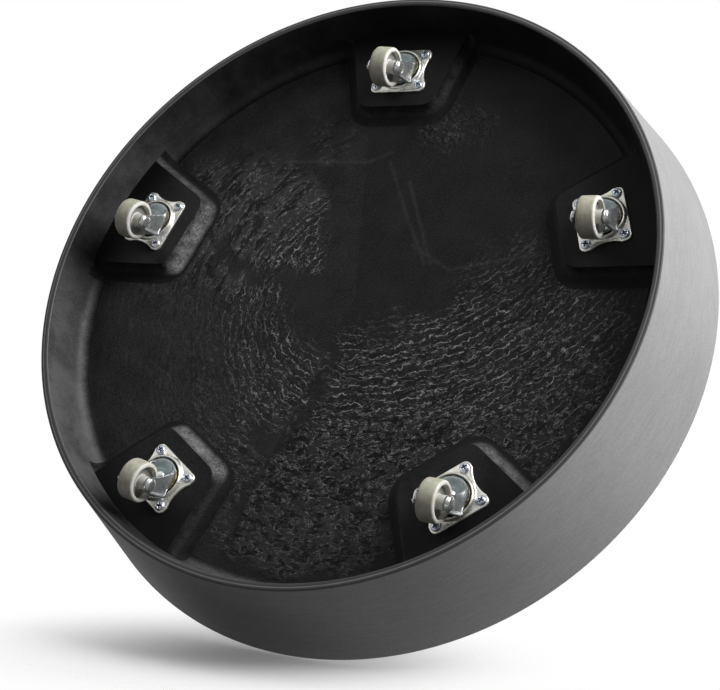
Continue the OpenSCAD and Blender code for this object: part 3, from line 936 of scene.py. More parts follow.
# %% Which finish each face of the tray takes
FLOOR, PAD, WALL, SKIRT, INNER = range(5)
middles = net_plan[net_faces].mean(1)
middle_r, middle_off = np.hypot(*middles.T), pad_distance(*middles.T)
part_of = np.where(middle_off < 0.0, PAD, np.where(middle_off < PAD_SKIRT, SKIRT, FLOOR))
part_of[(middle_r > FLOOR_EDGE) & (part_of == FLOOR)] = INNER
part_of[middle_r > pad_wall_r] = INNER
part_of = np.concatenate([part_of, np.full(len(shell_faces), WALL)])
tray.data.polygons.foreach_set("material_index", part_of.astype(np.int32))
print("faces of each finish:", np.bincount(part_of))

# %% [markdown]
# ## Grey plastic
# The tray is one dark grey plastic, but the mould gave each face its own skin. The wall was turned on
# a lathe when the mould was cut, and its fine tool marks run round it. Its gloss is a thin coat over a
# matt base, since a plain gloss would flare to white at a low angle. The rim is rougher, with a thin
# line round it. The pads were polished and stay nearly black, with pale dust towards the tray's middle.
# Its fading towards the wall, and its level on each pad, are painted shade.

# %% Brushed wall and dish
AROUND_STRETCH = 0.02
RIM_LINE = ((237.1, 237.5), (237.9, 238.3))
shader, place = start_finish("tray_wall", Specular_IOR_Level=0.0, Coat_Weight=0.36, Coat_Roughness=0.45)
far = off_axis(place)
heading = place.vector("NORMALIZE", stretched(place, 1.0, 1.0, 0.0))
up = place.add("ShaderNodeSeparateXYZ", None, {0: place}, out="Z")
risen = up.add("ShaderNodeCombineXYZ", None, {"Z": up - far})
turned_place = heading.vector("MULTIPLY_ADD", heading, (AROUND_STRETCH, AROUND_STRETCH, 0.0), risen)
marks = grain(turned_place, 1.1, detail=4.0, rough=0.7)
bands = grain(turned_place, 9.0, detail=2.0)
clouds = grain(place, 60.0)
specks = grain(place, 0.9, detail=1.0).step(0.66, 0.74)
grit = grain(place, 1.2, detail=2.0)
tone = marks * 0.4 + grit * 0.35 + bands * 0.1 + clouds * 0.15
grey = tone.step(0.35, 0.65).tint(rgb(0.250, 0.250, 0.252), rgb(0.335, 0.335, 0.337))
on_rim = 1.0 - up.step((RIM_Z + 0.3) * MM, (RIM_Z + 1.5) * MM)
(line_in, line_full), (line_from, line_out) = RIM_LINE
rim_line = far.step(line_in * MM, line_full * MM) * (1.0 - far.step(line_from * MM, line_out * MM))
rim_tone = (marks * 0.5 + rim_line * 0.5).step(0.2, 0.8)
feed(
    shader,
    Base_Color=on_rim.tint(grey, rim_tone.tint(rgb(0.07, 0.07, 0.0715), rgb(0.23, 0.23, 0.234))),
    Roughness=(marks * 0.2 + grit * 0.15 + specks * 0.1).between(0.36, 0.62),
    Normal=relief(marks, 0.05, 0.5),
)
print("wall finish ready")

# %% Polished pads
shader, place = start_finish("tray_pad", Specular_IOR_Level=0.12)
clouds = grain(place, 22.0, detail=4.0)
grit = grain(place, 1.0, detail=3.0, rough=0.7)
# Pale dust towards the tray's middle; its fading towards the wall and its level on each pad are painted
# shade.
pale_dust_and_shade = (clouds * 0.45 + grit * 0.55).step(0.32, 0.66) * stored(place, "dusty")
feed(
    shader,
    Base_Color=pale_dust_and_shade.tint(rgb(0.0035, 0.0036, 0.0040), rgb(0.034, 0.0343, 0.035)),
    Roughness=(clouds * 0.5 + grit * 0.5).between(0.35, 0.7),
    Normal=relief(grit, 0.15, 0.6),
)
print("pad finish ready")

# %% [markdown]
# ## The floor's skin
# The wrinkles themselves are in the mesh. Finer ones, which a mesh could not hold, are noise drawn
# out along the same rings: flat slabs with painted light on their tops and painted shade between them,
# and pale broken lines along the crests, painted highlights for the glints that the crests catch.
# Dashes come from a saw of the distance from the ring's middle, and flecks from lines along which a
# noise crosses its mean. The left side is more like leather, with hardly any lines, and is painted
# lighter, as more light falls there.

# %% Patterns of the floor
ROW_STRETCH, BRICK_STRETCH, ROW_WIDE = 0.3, 0.55, 6.2


def jostled(place, size_mm, reach_mm):
    """Coordinates pushed about by noise of a size, as far as reach_mm."""
    inputs = {"Vector": place, "Scale": 1.0 / (size_mm * MM), "Detail": 2.0}
    push = place.add("ShaderNodeTexNoise", None, inputs, out="Color")
    return place.vector("MULTIPLY_ADD", push, (reach_mm * MM,) * 3, place)


def winding_lines(wave, thin):
    """Thin lines, 1 in their middle, along which a wave crosses its mean."""
    off = wave - 0.5
    return 1.0 - off.math("ABSOLUTE", off).step(0.0, thin)


def mixed(share, low, high):
    """One strand turned into another by a share."""
    return low + share * (high - low)


def in_rings(place, stretch, left):
    """Distance from the middle of the wrinkles' rings, and coordinates drawn out along the rings."""
    to_gate = (-GATE[0] * MM, -GATE[1] * MM, 0.0)
    flat = place.vector("MULTIPLY_ADD", place, (1.0, 1.0, 0.0), to_gate)
    far = mixed(left, flat.vector("LENGTH", flat, out="Value"), off_axis(place))
    rise = far.add("ShaderNodeCombineXYZ", None, {"Z": far})
    return far, flat.vector("MULTIPLY_ADD", flat, (stretch, stretch, 0.0), rise)


shader, place = start_finish("tray_floor", Specular_IOR_Level=0.06, Coat_Roughness=0.3)
floor_layers = ("wrinkle", "roundness", "slab", "skirt", "lined", "front", "worn", "left")
wrinkle, roundness, slab_here, skirt_here, lined_here, front, wear_and_light_here, left = (
    stored(place, name) for name in floor_layers
)
far, rows = in_rings(jostled(jostled(place, 30.0, 10.0), 5.0, 1.2), ROW_STRETCH, left)
_, bricks = in_rings(jostled(jostled(place, 18.0, 5.0), 4.0, 1.4), BRICK_STRETCH, left)
patches = grain(place, 28.0, detail=3.0)
grit = grain(place, 1.1, detail=2.0, rough=0.7)
pick = (roundness + patches * 0.6).step(0.62, 0.86)
lumps = mixed(pick, grain(rows, 7.0, detail=4.0, rough=0.6), grain(bricks, 6.0, detail=4.0, rough=0.6))
small = mixed(pick, grain(rows, 3.2, detail=2.0, rough=0.6), grain(bricks, 3.0, detail=2.0, rough=0.6))
rough_here = wrinkle.step(0.02, 0.7)
slabs = (slab_here + patches * 0.4 - 0.2).step(0.2, 0.8)
print("patterns of the floor ready")

# %% Lines of the floor
broken = grain(place, 4.0, detail=2.0).step(0.4, 0.58)
flecks = (winding_lines(lumps, 0.014) + winding_lines(small, 0.02) * 0.6).capped() * broken
sway = grain(place, 14.0, detail=2.0) * 2.0
turns = far * (1.0 / (ROW_WIDE * MM)) + sway + grain(place, 3.4, detail=1.0) * 0.7
saw = turns.math("FRACT", turns)
faint = grain(place, 16.0, detail=2.0).step(0.3, 0.6).between(0.35, 1.0)
cut = grain(place, 2.4, detail=2.0).step(0.4, 0.56) * faint
dashes = saw.step(0.77, 0.87) * (1.0 - saw.step(0.88, 0.97)) * cut
in_rows = (1.0 - pick) * (1.0 - slabs * 0.8)
line = (dashes * in_rows + flecks * (1.0 - in_rows * 0.35)) * rough_here * lined_here
line = (line + front * grain(place, 5.0, detail=3.0).step(0.2, 0.6) * 0.055).capped()
leather = grain(rows, 1.9, detail=3.0, rough=0.7).step(0.46, 0.64) * rough_here * (1.0 - lined_here)
print("lines of the floor ready")

# %% Wrinkled floor
top = lumps.step(0.45, 0.52)
facet = small.step(0.44, 0.6) * 0.6 + grit.step(0.4, 0.6) * 0.4
height = lumps * 0.8 + small * 0.5 + line * 0.25 + slabs * top * 0.5 + leather * 0.2
plate_shine = top * (0.26 - pick * 0.1) + facet * 0.12
shine = mixed(rough_here, 0.08 + patches * 0.12, mixed(slabs, facet * 0.3 + 0.03, plate_shine))
# Painted shade: the hollows between the lumps are darker.
shaded_gaps = (1.0 - lumps.step(0.36, 0.46)) * rough_here
dark = (patches * 0.25 + grit * 0.75).step(0.32, 0.68) * (1.0 - shaded_gaps * 0.6)
# Painted light and some wear: the floor beside a pale skirt is paler too.
rubbed_and_lit = skirt_here * wear_and_light_here * (grit * 0.6 + patches * 0.4).step(0.42, 0.62)
base = dark.tint(rgb(0.005, 0.0051, 0.0054), rgb(0.022, 0.0222, 0.0228))
# Painted light: the tops of the slabs are lighter.
base = (slabs * top * rough_here * (0.6 - pick * 0.3)).tint(base, rgb(0.032, 0.0324, 0.0332))
# Painted light: the left side, where more light falls, is lighter.
base = (dark * left * 0.3).tint(base, rgb(0.05, 0.0504, 0.0512))
base = (leather * 0.45).tint(base, rgb(0.105, 0.1057, 0.107))
# Painted highlight: the pale crest lines stand in for glints that the crests catch; faint flow-front lines
# come with them.
base = line.tint(base, rgb(0.40, 0.401, 0.404))
base = (rubbed_and_lit * 0.8).tint(base, rgb(0.16, 0.161, 0.164))
feed(
    shader,
    Base_Color=base,
    Roughness=(grit * 0.6 + patches * 0.4).between(0.42, 0.7),
    Coat_Weight=shine + line * 0.4,
    Normal=relief(height * rough_here + grit * (0.45 + left * 0.25), 1.0, 1.0),
)
print("floor finish ready")

# %% [markdown]
# ## Skirts and inner wall
# The skirts round the pads kept a coarse grain from a part of the mould that was never polished. At the
# front of some pads and on a side of others they are a pale grey, partly wear and partly painted light
# where a skirt faces the lamp. The inner wall was scratched by tools and stacking: long fine scratches
# in all directions over a dull skin. That skin is painted lighter round the wall where the light falls,
# darker in shade, and darker towards the floor. Noise drawn out along slanting directions and cut at a
# high level leaves just such hairs. Its gloss is a coat again.

# %% Grainy skirts
shader, place = start_finish("tray_skirt", Specular_IOR_Level=0.12)
grit = grain(place, 1.3, detail=3.0, rough=0.75)
scuffs = grain(place, 9.0, detail=4.0, rough=0.65)
foot_here, wear_and_light_here = stored(place, "foot"), stored(place, "worn")
bare = (grit * 0.6 + scuffs * 0.4).step(0.36, 0.66)
reach = wear_and_light_here.between(0.35, 0.86)
below_edge = (foot_here + scuffs * 0.3 - 0.15).step(-0.12, 0.2)
to_floor = (foot_here + grit * 0.5 - 0.25).step(reach * 0.6, reach * 1.1)
# Painted light and some wear: pale bands where a skirt faces the lamp, set for each caster and side.
pale = bare.between(0.15, 1.0) * (below_edge * (1.0 - to_floor) * wear_and_light_here) + bare * 0.04
feed(
    shader,
    Base_Color=pale.tint(rgb(0.006, 0.0061, 0.0065), rgb(0.29, 0.291, 0.294)),
    Roughness=bare.between(0.5, 0.7),
    Normal=relief(grit, 0.9, 1.0),
)
print("skirt finish ready")

# %% Scuffed inner wall, with painted light and shade
WALL_FOOT = (FLOOR_EDGE + 0.5, FLOOR_EDGE + 6.0)
HAIR_SLANTS = ((1.0, 0.09, 0.5), (0.10, 1.0, 0.6), (0.35, 0.35, 0.06))
shader, place = start_finish("tray_inner_wall", Specular_IOR_Level=0.04, Coat_Roughness=0.55)
clouds = grain(place, 26.0, detail=5.0, rough=0.65)
grit = grain(place, 1.0, detail=3.0, rough=0.7)
# Painted light and shade: lighter where the light falls, darker in shade, and darker towards the floor.
up_wall = (off_axis(place) + (grit - 0.5) * (6.0 * MM)).step(WALL_FOOT[0] * MM, WALL_FOOT[1] * MM)
scuffs_and_light_here = stored(place, "scuffed") * up_wall.between(0.2, 1.0)
hairs = 0.0
for slant in HAIR_SLANTS:
    hair = grain(stretched(jostled(place, 40.0, 6.0), *slant), 1.6, detail=1.0)
    hairs = hairs + hair.step(0.62, 0.70) * clouds.step(0.4, 0.62)
dull = (clouds * 0.6 + grit * 0.4).step(0.34, 0.66)
base = (dull * scuffs_and_light_here + scuffs_and_light_here * 0.4).tint(rgb(0.004, 0.0041, 0.0044), rgb(0.085, 0.0855, 0.087))
base = (hairs.capped() * scuffs_and_light_here * 0.4).tint(base, rgb(0.11, 0.111, 0.114))
feed(
    shader,
    Base_Color=base,
    Roughness=(clouds * 0.5 + grit * 0.5).between(0.34, 0.56),
    Coat_Weight=scuffs_and_light_here * dull.between(0.45, 0.7),
    Normal=relief(grit * 0.6 + clouds * 0.4, 0.35, 0.7),
)
for name in ("tray_floor", "tray_pad", "tray_wall", "tray_skirt", "tray_inner_wall"):
    tray.data.materials.append(finishes[name])
print("inner wall finish ready")

# %% [markdown]
# ## The casters
# Five alike casters are screwed on: a pressed plate with a raised ring, a fork that swivels under it
# on a ring of balls, and a nylon wheel on a riveted axle. The solid model has all of them, but bends
# pressed from sheet are softer than its edges, so the visible parts are made again to the same sizes.
# Each is drawn once round its own axis and then set at the five places.

# %% Where a caster stands
HEADINGS = (340.0, 338.0, 331.0, 323.0, 331.0)
PAD_FACE = plate_high.z / MM
plate_half_x = (plate_high.x - plate_low.x) / MM / 2
plate_half_y = (plate_high.y - plate_low.y) / MM / 2
AXLE_DROP = PAD_FACE - WHEEL_R


def turned_by(places, angle):
    c, s = math.cos(angle), math.sin(angle)
    return np.asarray(places) @ np.array(((c, s, 0.0), (-s, c, 0.0), (0.0, 0.0, 1.0)))


def caster_piece(k, part, places, faces, body):
    """A piece drawn round a caster's swivel, below the pad's face, set at caster k on one of its bodies."""
    a = caster_angle(k)
    angle = a if body == "tray" else math.radians(HEADINGS[k])
    spot = (CASTER_CIRCLE * math.cos(a), CASTER_CIRCLE * math.sin(a), PAD_FACE)
    rides_on = body if body == "tray" else f"caster_{k + 1}_{body}"
    piece = make_piece(f"caster_{k + 1}_{part}", turned_by(places, angle) + spot, faces, rides_on)
    work = bmesh.new()
    work.from_mesh(piece.data)
    bmesh.ops.recalc_face_normals(work, faces=work.faces)
    work.to_mesh(piece.data)
    work.free()
    return piece


def on_every_caster(part, node, places, faces, body, slot, **layers):
    """The same piece on all five casters, each standing for a node of the solid model."""
    for k in range(CASTERS):
        piece = caster_piece(k, part, places, faces, body)
        store(piece, **layers)
        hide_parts(f"caster_{k + 1}_{node}")


print("plates of", round(2 * plate_half_x, 1), "by", round(2 * plate_half_y, 1), "mm")

# %% Turned shapes
def shifted(faces, by):
    """Faces whose points come later in a list."""
    return [tuple(i + by for i in face) for face in faces]


def end_faces(last, around):
    """The two faces that close a row of rings, of which the last starts at a given point."""
    return [tuple(range(around))[::-1], tuple(range(last, last + around))]


def spun(path, around, closed=False):
    """Rings of points (radius, height) turned round an axis, and the faces between them."""
    turns = np.arange(around) * 2.0 * math.pi / around
    rings = [np.stack([r * np.cos(turns), r * np.sin(turns), np.full(around, h)], -1) for r, h in path]
    last = (len(path) - 1) * around
    closing = band_faces(last, 0, around) if closed else end_faces(last, around)
    return np.concatenate(rings), lathe_faces(len(path), around) + closing


print("turned shapes can be made")

# %% [markdown]
# ## Pressed plates
# The plate is cut from sheet with rounded corners and hollow ends, and a ring is pressed up round the
# swivel. A net over the outline again, with rings where the pressing bends, gives the soft slopes.

# %% Outline and ring of a plate
PLATE_T, RING_IN, RING_H = 1.8, 15.4, 3.0
PLATE_CORNER, BAY_DEPTH, BAY_HALF = 4.5, 3.0, 11.6
RING_STEPS, RING_SHARES = (-0.1, 0.05, 0.45, 1.0), (0.0, 0.72, 0.95, 1.0)
RING_SLOPE, SLOPE_STEPS = (1.1, 3.1), (1.5, 2.0, 2.5, 3.0)


def plate_outline():
    """Points round the plate: straight sides, rounded corners, hollow ends."""
    bay_r = (BAY_HALF**2 + BAY_DEPTH**2) / (2 * BAY_DEPTH)
    x = np.linspace(BAY_HALF, -BAY_HALF, 25)
    bay = np.stack([x, plate_half_y - np.sqrt(bay_r**2 - x**2) + bay_r - BAY_DEPTH], -1)
    arc = np.linspace(0.0, math.pi / 2, 9)
    corner = np.stack([np.cos(arc), np.sin(arc)], -1) * PLATE_CORNER
    corner = corner + (plate_half_x - PLATE_CORNER, plate_half_y - PLATE_CORNER)
    side = np.stack([np.full(10, plate_half_x), np.linspace(0.0, corner[0, 1], 11)[:-1]], -1)
    upper = np.concatenate([side, corner, bay, corner[::-1] * (-1, 1), side[:0:-1] * (-1, 1)])
    return np.concatenate([upper, -upper])


def moved_in(line, inset):
    """A closed line moved inwards."""
    along = np.roll(line, -1, 0) - np.roll(line, 1, 0)
    inward = np.stack([-along[:, 1], along[:, 0]], -1) / np.linalg.norm(along, axis=1)[:, None]
    return line + inward * inset


def pressed_depth(r):
    """How far the plate's face stands below its top, at a distance from the swivel."""
    ring = np.interp(r, [RING_IN + step for step in RING_STEPS], RING_SHARES)
    ring = ring * (1.0 - smooth_step(r, RING_IN + RING_SLOPE[0], RING_IN + RING_SLOPE[1]))
    return PLATE_T + RING_H * ring


print("ring of a plate from", RING_IN, "to", RING_IN + RING_SLOPE[1], "mm")

# %% Plates
INNER_RING, PLATE_AROUND = 8.0, 96
EDGE_INSETS, EDGE_DROPS = (0.9, 0.3), (1.6, 1.0)
outline = plate_outline()
around_plate = len(outline)
ring_way = np.arange(PLATE_AROUND) * 2.0 * math.pi / PLATE_AROUND
ring_way = np.stack([np.cos(ring_way), np.sin(ring_way)], -1)
ring_radii = [INNER_RING] + [RING_IN + step for step in RING_STEPS + SLOPE_STEPS]
plate_lines = [moved_in(outline, EDGE_INSETS[0])] + [r * ring_way for r in ring_radii]
plate_edges, start = [], 0
for line in plate_lines:
    plate_edges += [(start + i, start + (i + 1) % len(line)) for i in range(len(line))]
    start += len(line)
plate_net = delaunay_2d_cdt([Vector(p) for p in np.concatenate(plate_lines)], plate_edges, [], 1, 1e-5)
plate_plan = np.array([tuple(v) for v in plate_net[0]])
plate_places = np.concatenate([
    np.c_[plate_plan, -pressed_depth(np.hypot(*plate_plan.T))],
    np.c_[moved_in(outline, EDGE_INSETS[1]), np.full(around_plate, -EDGE_DROPS[0])],
    np.c_[outline, np.full(around_plate, -EDGE_DROPS[1])],
    np.c_[outline, np.zeros(around_plate)],
])
first = len(plate_plan)
plate_faces = [tuple(f) for f in plate_net[2]] + band_faces(0, first, around_plate)
plate_faces += lathe_faces(3, around_plate, first)
plate_faces.append(tuple(range(first + 2 * around_plate, first + 3 * around_plate)))
plate_ring = np.hypot(*plate_places.T[:2]) / RING_IN
on_every_caster(
    "pressed_plate", "top_plate", plate_places, plate_faces, "tray", "zinc_plate", ring=plate_ring,
)
print("plate:", len(plate_places), "points,", len(plate_faces), "faces")

# %% [markdown]
# ## Forks
# A fork is pressed from one sheet: a dished crown over the balls, and two arms folded down from its
# edge to the axle. An arm is a curved sheet between two edges, a hollow one in front and a nearly
# straight one behind, with a small flange, which meet round the axle's end. It leans out towards the
# crown's edge. It is drawn as a grid and given its thickness along the normals, which a block cut to
# shape would not have.

# %% Fork sizes and an arm's edges
FORK_T, CROWN_R = 1.8, 14.4
ARM_OUT, ARM_END_R, ARM_HOLLOW = 11.6, 5.4, 2.0
ARM_FRONT, ARM_REAR, ARM_TOP = -10.8, 13.0, 5.0
REAR_HOLLOW, TIP_TURN, TIP_SHARE = 0.4, math.radians(-62.0), 0.97
LINE_POINTS, ARC_POINTS = 30, 14
axle_spot = np.array((TRAIL, -AXLE_DROP))


def touching(point, side):
    """The direction in which a line from a point touches the round end of the arm."""
    away = np.array(point) - axle_spot
    return math.atan2(away[1], away[0]) + side * math.acos(ARM_END_R / np.linalg.norm(away))


def edge_of_arm(start, side, hollow):
    """One edge of an arm, seen from the side, from the crown to the tip below the axle."""
    turn = touching(start, side)
    sweep = (TIP_TURN - turn) if side < 0 else (TIP_TURN - turn) % (2.0 * math.pi)
    touch = axle_spot + ARM_END_R * np.array((math.cos(turn), math.sin(turn)))
    share = np.linspace(0.0, 1.0, LINE_POINTS)
    line = np.array(start) + (touch - start) * share[:, None]
    across = np.array((touch[1] - start[1], start[0] - touch[0]))
    across = across / np.linalg.norm(across)
    line = line - across * (hollow * 4.0 * share * (1.0 - share))[:, None]
    arc = turn + np.linspace(0.0, 1.0, ARC_POINTS)[1:] * sweep * TIP_SHARE
    end = axle_spot + ARM_END_R * np.stack([np.cos(arc), np.sin(arc)], -1)
    return np.concatenate([line, end])


front_edge = edge_of_arm((ARM_FRONT, -ARM_TOP), 1, ARM_HOLLOW)
rear_edge = edge_of_arm((ARM_REAR, -ARM_TOP), -1, REAR_HOLLOW)
print("arm from", front_edge[0], rear_edge[0], "to", front_edge[-1].round(2), rear_edge[-1].round(2))

# %% Sheets for the arms
CROWN_EDGE, EDGE_LEAST, DROP_LEFT = 0.9, 90.0, 3.5
REAR_DRAW, LEAN_CURVE = 0.012, 1.25


def arm_reach(x, z):
    """How far out an arm's face lies: at the crown's edge above, at the wheel's side below."""
    crown_edge = np.sqrt(np.maximum(CROWN_R**2 - x**2, EDGE_LEAST))
    edge = np.where(x < 0.0, crown_edge, CROWN_R - REAR_DRAW * x)
    down = np.clip((-ARM_TOP - z) / (AXLE_DROP - ARM_TOP - DROP_LEFT), 0.0, 1.0)
    return ARM_OUT + (edge - CROWN_EDGE - ARM_OUT) * (1.0 - down**LEAN_CURVE)


def thickened(grid, thickness):
    """A closed sheet of points and faces, from a grid of points on its outer face."""
    rows, columns = grid.shape[:2]
    normal = np.cross(np.gradient(grid, axis=0), np.gradient(grid, axis=1))
    normal /= np.linalg.norm(normal, axis=-1, keepdims=True)
    inner = grid - normal * thickness
    places = np.concatenate([grid.reshape(-1, 3), inner.reshape(-1, 3)])
    spot = np.arange(rows * columns).reshape(rows, columns)
    faces = []
    for i in range(rows - 1):
        for j in range(columns - 1):
            quad = (spot[i, j], spot[i + 1, j], spot[i + 1, j + 1], spot[i, j + 1])
            faces += [quad, tuple(q + rows * columns for q in quad[::-1])]
    rim = np.concatenate([spot[0, :-1], spot[:-1, -1], spot[-1, :0:-1], spot[:0:-1, 0]])
    for a, b in zip(rim, np.roll(rim, -1)):
        faces.append((a, b, b + rows * columns, a + rows * columns))
    return places, faces


print("an arm's face at the axle:", arm_reach(TRAIL, -AXLE_DROP).round(2), "mm out")

# %% Forks
ARM_COLUMNS, FLANGE, FLANGE_FROM = 21, 1.1, 0.82
ROLL, ROLL_STEPS, ROLL_RISE, ROLL_SINK, UNDER_RING = 1.3, 5, 0.75, 0.15, (14.2, 14.8)
share = np.linspace(0.0, 1.0, ARM_COLUMNS)[None, :, None]
side_grid = front_edge[:, None] + (rear_edge - front_edge)[:, None] * share
arm_x, arm_z = side_grid[..., 0], side_grid[..., 1]
flared = FLANGE * smooth_step(share[..., 0], FLANGE_FROM, 1.0)
arm_grid = np.stack([arm_x, -arm_reach(arm_x, arm_z) - flared, arm_z], -1)
rolled = []
for turn in np.linspace(math.pi / 2, 0.0, ROLL_STEPS)[:-1]:
    top_row = arm_grid[0].copy()
    top_row[:, 1] += ROLL * (1.0 - math.cos(turn))
    under_ring = smooth_step(np.hypot(top_row[:, 0], top_row[:, 1]), *UNDER_RING)
    top_row[:, 2] += ROLL * math.sin(turn) * ROLL_RISE * (1.0 - under_ring) - ROLL_SINK * under_ring
    rolled.append(top_row)
near_arm, arm_faces = thickened(np.concatenate([rolled, arm_grid]), FORK_T)
far_arm = near_arm * (1.0, -1.0, 1.0)

crown_path = [
    (3.06, -5.0), (5.5, -5.0), (5.9, -4.9), (6.6, -4.62), (7.4, -4.5), (8.4, -4.55), (9.4, -4.72),
    (10.4, -5.0), (11.4, -5.3), (12.2, -5.5), (12.9, -5.58), (13.5, -5.48), (13.9, -5.2), (14.1, -4.8),
    (14.0, -4.2), (13.4, -3.8), (8.2, -3.8), (3.06, -3.8),
]
CROWN_AROUND = 72
crown, crown_faces = spun(crown_path, CROWN_AROUND, closed=True)
fork_places = np.concatenate([crown, near_arm, far_arm])
fork_faces = crown_faces + shifted(arm_faces, len(crown)) + shifted(arm_faces, len(crown) + len(near_arm))
on_every_caster(
    "pressed_fork", "fork", fork_places, fork_faces, "swivel", "zinc_fork",
    crown=[1.0] * len(crown), out=np.hypot(*fork_places.T[:2]) / CROWN_R,
)
print("fork:", len(fork_places), "points,", len(fork_faces), "faces")

# %% [markdown]
# ## Axles and wheels
# The axle is a pin riveted at both ends, so its heads are soft domes with a flat left by the press.
# The wheel is turned nylon: a tread ring, a thin web deep between, and a hub that stands proud. Both
# are turned shapes, spun round the axle's line. Distances along and across are kept for the finish.

# %% Axles and wheels
HEAD_R, AXLE_HALF = 5.3, 14.0
HUB_HALF, HUB_R, BORE_R = 9.2, 5.2, 2.56
RING_R, WEB_HALF = 11.9, 3.0
WHEEL_ROUNDS, ROUND_STEPS = (0.5, 0.8, 0.8, 0.4, 1.9), 5
AXLE_AROUND, WHEEL_AROUND = 40, 72


def round_axle(places):
    """Points spun round z laid along the axle, behind and below the swivel."""
    x, y, z = np.asarray(places).T
    return np.stack([x + TRAIL, z, y - AXLE_DROP], -1)


head_dome = ((0.02, 0.0), (1.5, 0.04), (2.7, 0.14), (3.6, 0.32), (4.3, 0.6), (4.8, 0.95), (5.1, 1.4))
axle_half_path = [(r, AXLE_HALF - drop) for r, drop in head_dome]
axle_half_path += [(HEAD_R, ARM_OUT + 0.3), (5.1, ARM_OUT), (2.5, ARM_OUT)]
axle_path = axle_half_path + [(r, -h) for r, h in axle_half_path[::-1]]
axle_round, axle_faces = spun(axle_path, AXLE_AROUND)
on_every_caster("riveted_axle", "axle", round_axle(axle_round), axle_faces, "swivel", "zinc_axle")

wheel_half = rounded_path(
    [(BORE_R, HUB_HALF), (HUB_R, HUB_HALF), (HUB_R - 0.25, WEB_HALF), (RING_R - 0.5, WEB_HALF),
     (RING_R, WHEEL_W / 2), (WHEEL_R, WHEEL_W / 2), (WHEEL_R, 0.0)],
    WHEEL_ROUNDS, ROUND_STEPS,
)
wheel_path = np.concatenate([wheel_half, wheel_half[-2::-1] * (1.0, -1.0)])
wheel_round, wheel_faces = spun(wheel_path, WHEEL_AROUND, closed=True)
wheel_turn = np.arctan2(wheel_round[:, 1], wheel_round[:, 0])
on_every_caster(
    "turned_wheel", "wheel", round_axle(wheel_round), wheel_faces, "roller", "nylon_wheel",
    far=np.hypot(*wheel_round.T[:2]) / WHEEL_R, along=wheel_round[:, 2] / WHEEL_W,
    turn_x=np.cos(wheel_turn), turn_y=np.sin(wheel_turn),
)
print("axle:", len(axle_faces), "faces; wheel:", len(wheel_faces), "faces")

# %% [markdown]
# ## Screws and grease
# Four cross-head screws hold each plate. Their crosses are what one sees first, so each head is a
# grid of points pushed down in the shape of a cross, with the depth kept for the finish. Brown grease
# has crept out of the ball race into the gap beside each arm, as a crescent of uneven thickness.

# %% Screws
HEAD_WIDE, HEAD_HIGH, HEAD_RINGS, HEAD_AROUND = 3.6, 2.4, 23, 64
CROSS_HALF, CROSS_WIDE, CROSS_DEEP, CROSS_SOFT, CROSS_END = 2.15, 0.62, 1.3, 0.12, (1.9, 2.4)
SHANK_R, SHANK_LONG = 1.9, 14.0
HOLE_X, HOLE_Y = plate_half_x - 5.0, plate_half_y - 5.0
CROSS_TURNS = (0.0, 25.0, 50.0, 75.0)
head_path = [(0.02 + HEAD_WIDE * i / (HEAD_RINGS - 1), 0.0) for i in range(HEAD_RINGS)]
shank_path = [(SHANK_R, 0.0), (SHANK_R, SHANK_LONG - 2.0), (0.5, SHANK_LONG)]
head, head_faces = spun(head_path + shank_path, HEAD_AROUND)
head_far = np.hypot(*head.T[:2])
on_head = np.arange(len(head)) < HEAD_RINGS * HEAD_AROUND
cap = HEAD_HIGH * np.sqrt(np.maximum(1.0 - (head_far / (HEAD_WIDE + 0.15)) ** 2, 0.0)) ** 0.9
across_cross = np.minimum(np.abs(head[:, 0]), np.abs(head[:, 1]))
taper = CROSS_WIDE * (1.0 - 0.25 * head_far / CROSS_HALF)
cross = 1.0 - smooth_step(across_cross, taper - CROSS_SOFT, taper + CROSS_SOFT)
cross = cross * (1.0 - smooth_step(head_far, *CROSS_END))
head[:, 2] += np.where(on_head, -cap + cross * CROSS_DEEP, 0.0)
cross = np.where(on_head, cross, 0.0)
corners = [(sx * HOLE_X, sy * HOLE_Y, -PLATE_T) for sx in (-1, 1) for sy in (-1, 1)]
screw_places = np.concatenate([turned_by(head, math.radians(t)) + c for t, c in zip(CROSS_TURNS, corners)])
screw_faces = [face for n in range(4) for face in shifted(head_faces, n * len(head))]
on_every_caster(
    "cross_screws", "screws", screw_places, screw_faces, "tray", "zinc_screw", cross=np.tile(cross, 4),
)
print("screws:", len(screw_faces), "faces on each plate")

# %% Grease
GREASE_STEPS, GREASE_ROUND = 60, 10
GREASE_FAR, GREASE_DOWN, GREASE_FAT = 14.4, -5.2, 0.9
NEAR_SEED, AWAY_SEED = 40, 50
grease_turns = np.radians(np.linspace(-134.0, -54.0, GREASE_STEPS))
grease_round = np.arange(GREASE_ROUND) * 2.0 * math.pi / GREASE_ROUND


def grease_roll(seed):
    """A crescent of grease along one arm's top edge, thick in the middle and uneven."""
    draw = np.random.default_rng(seed)
    share = np.linspace(0.0, 1.0, GREASE_STEPS)
    fat = np.sin(math.pi * share) ** 0.6 + 0.02
    waves = sum(np.sin(n * 6.0 * share + draw.uniform(0.0, 6.3)) for n in (1, 2, 3)) / 2.0
    fat = GREASE_FAT * (fat * (0.85 + 0.15 * waves))[:, None]
    far = GREASE_FAR + fat * np.cos(grease_round)
    down = GREASE_DOWN - fat * np.sin(grease_round)
    turn = grease_turns[:, None]
    return np.stack([far * np.cos(turn), far * np.sin(turn), down], -1).reshape(-1, 3)


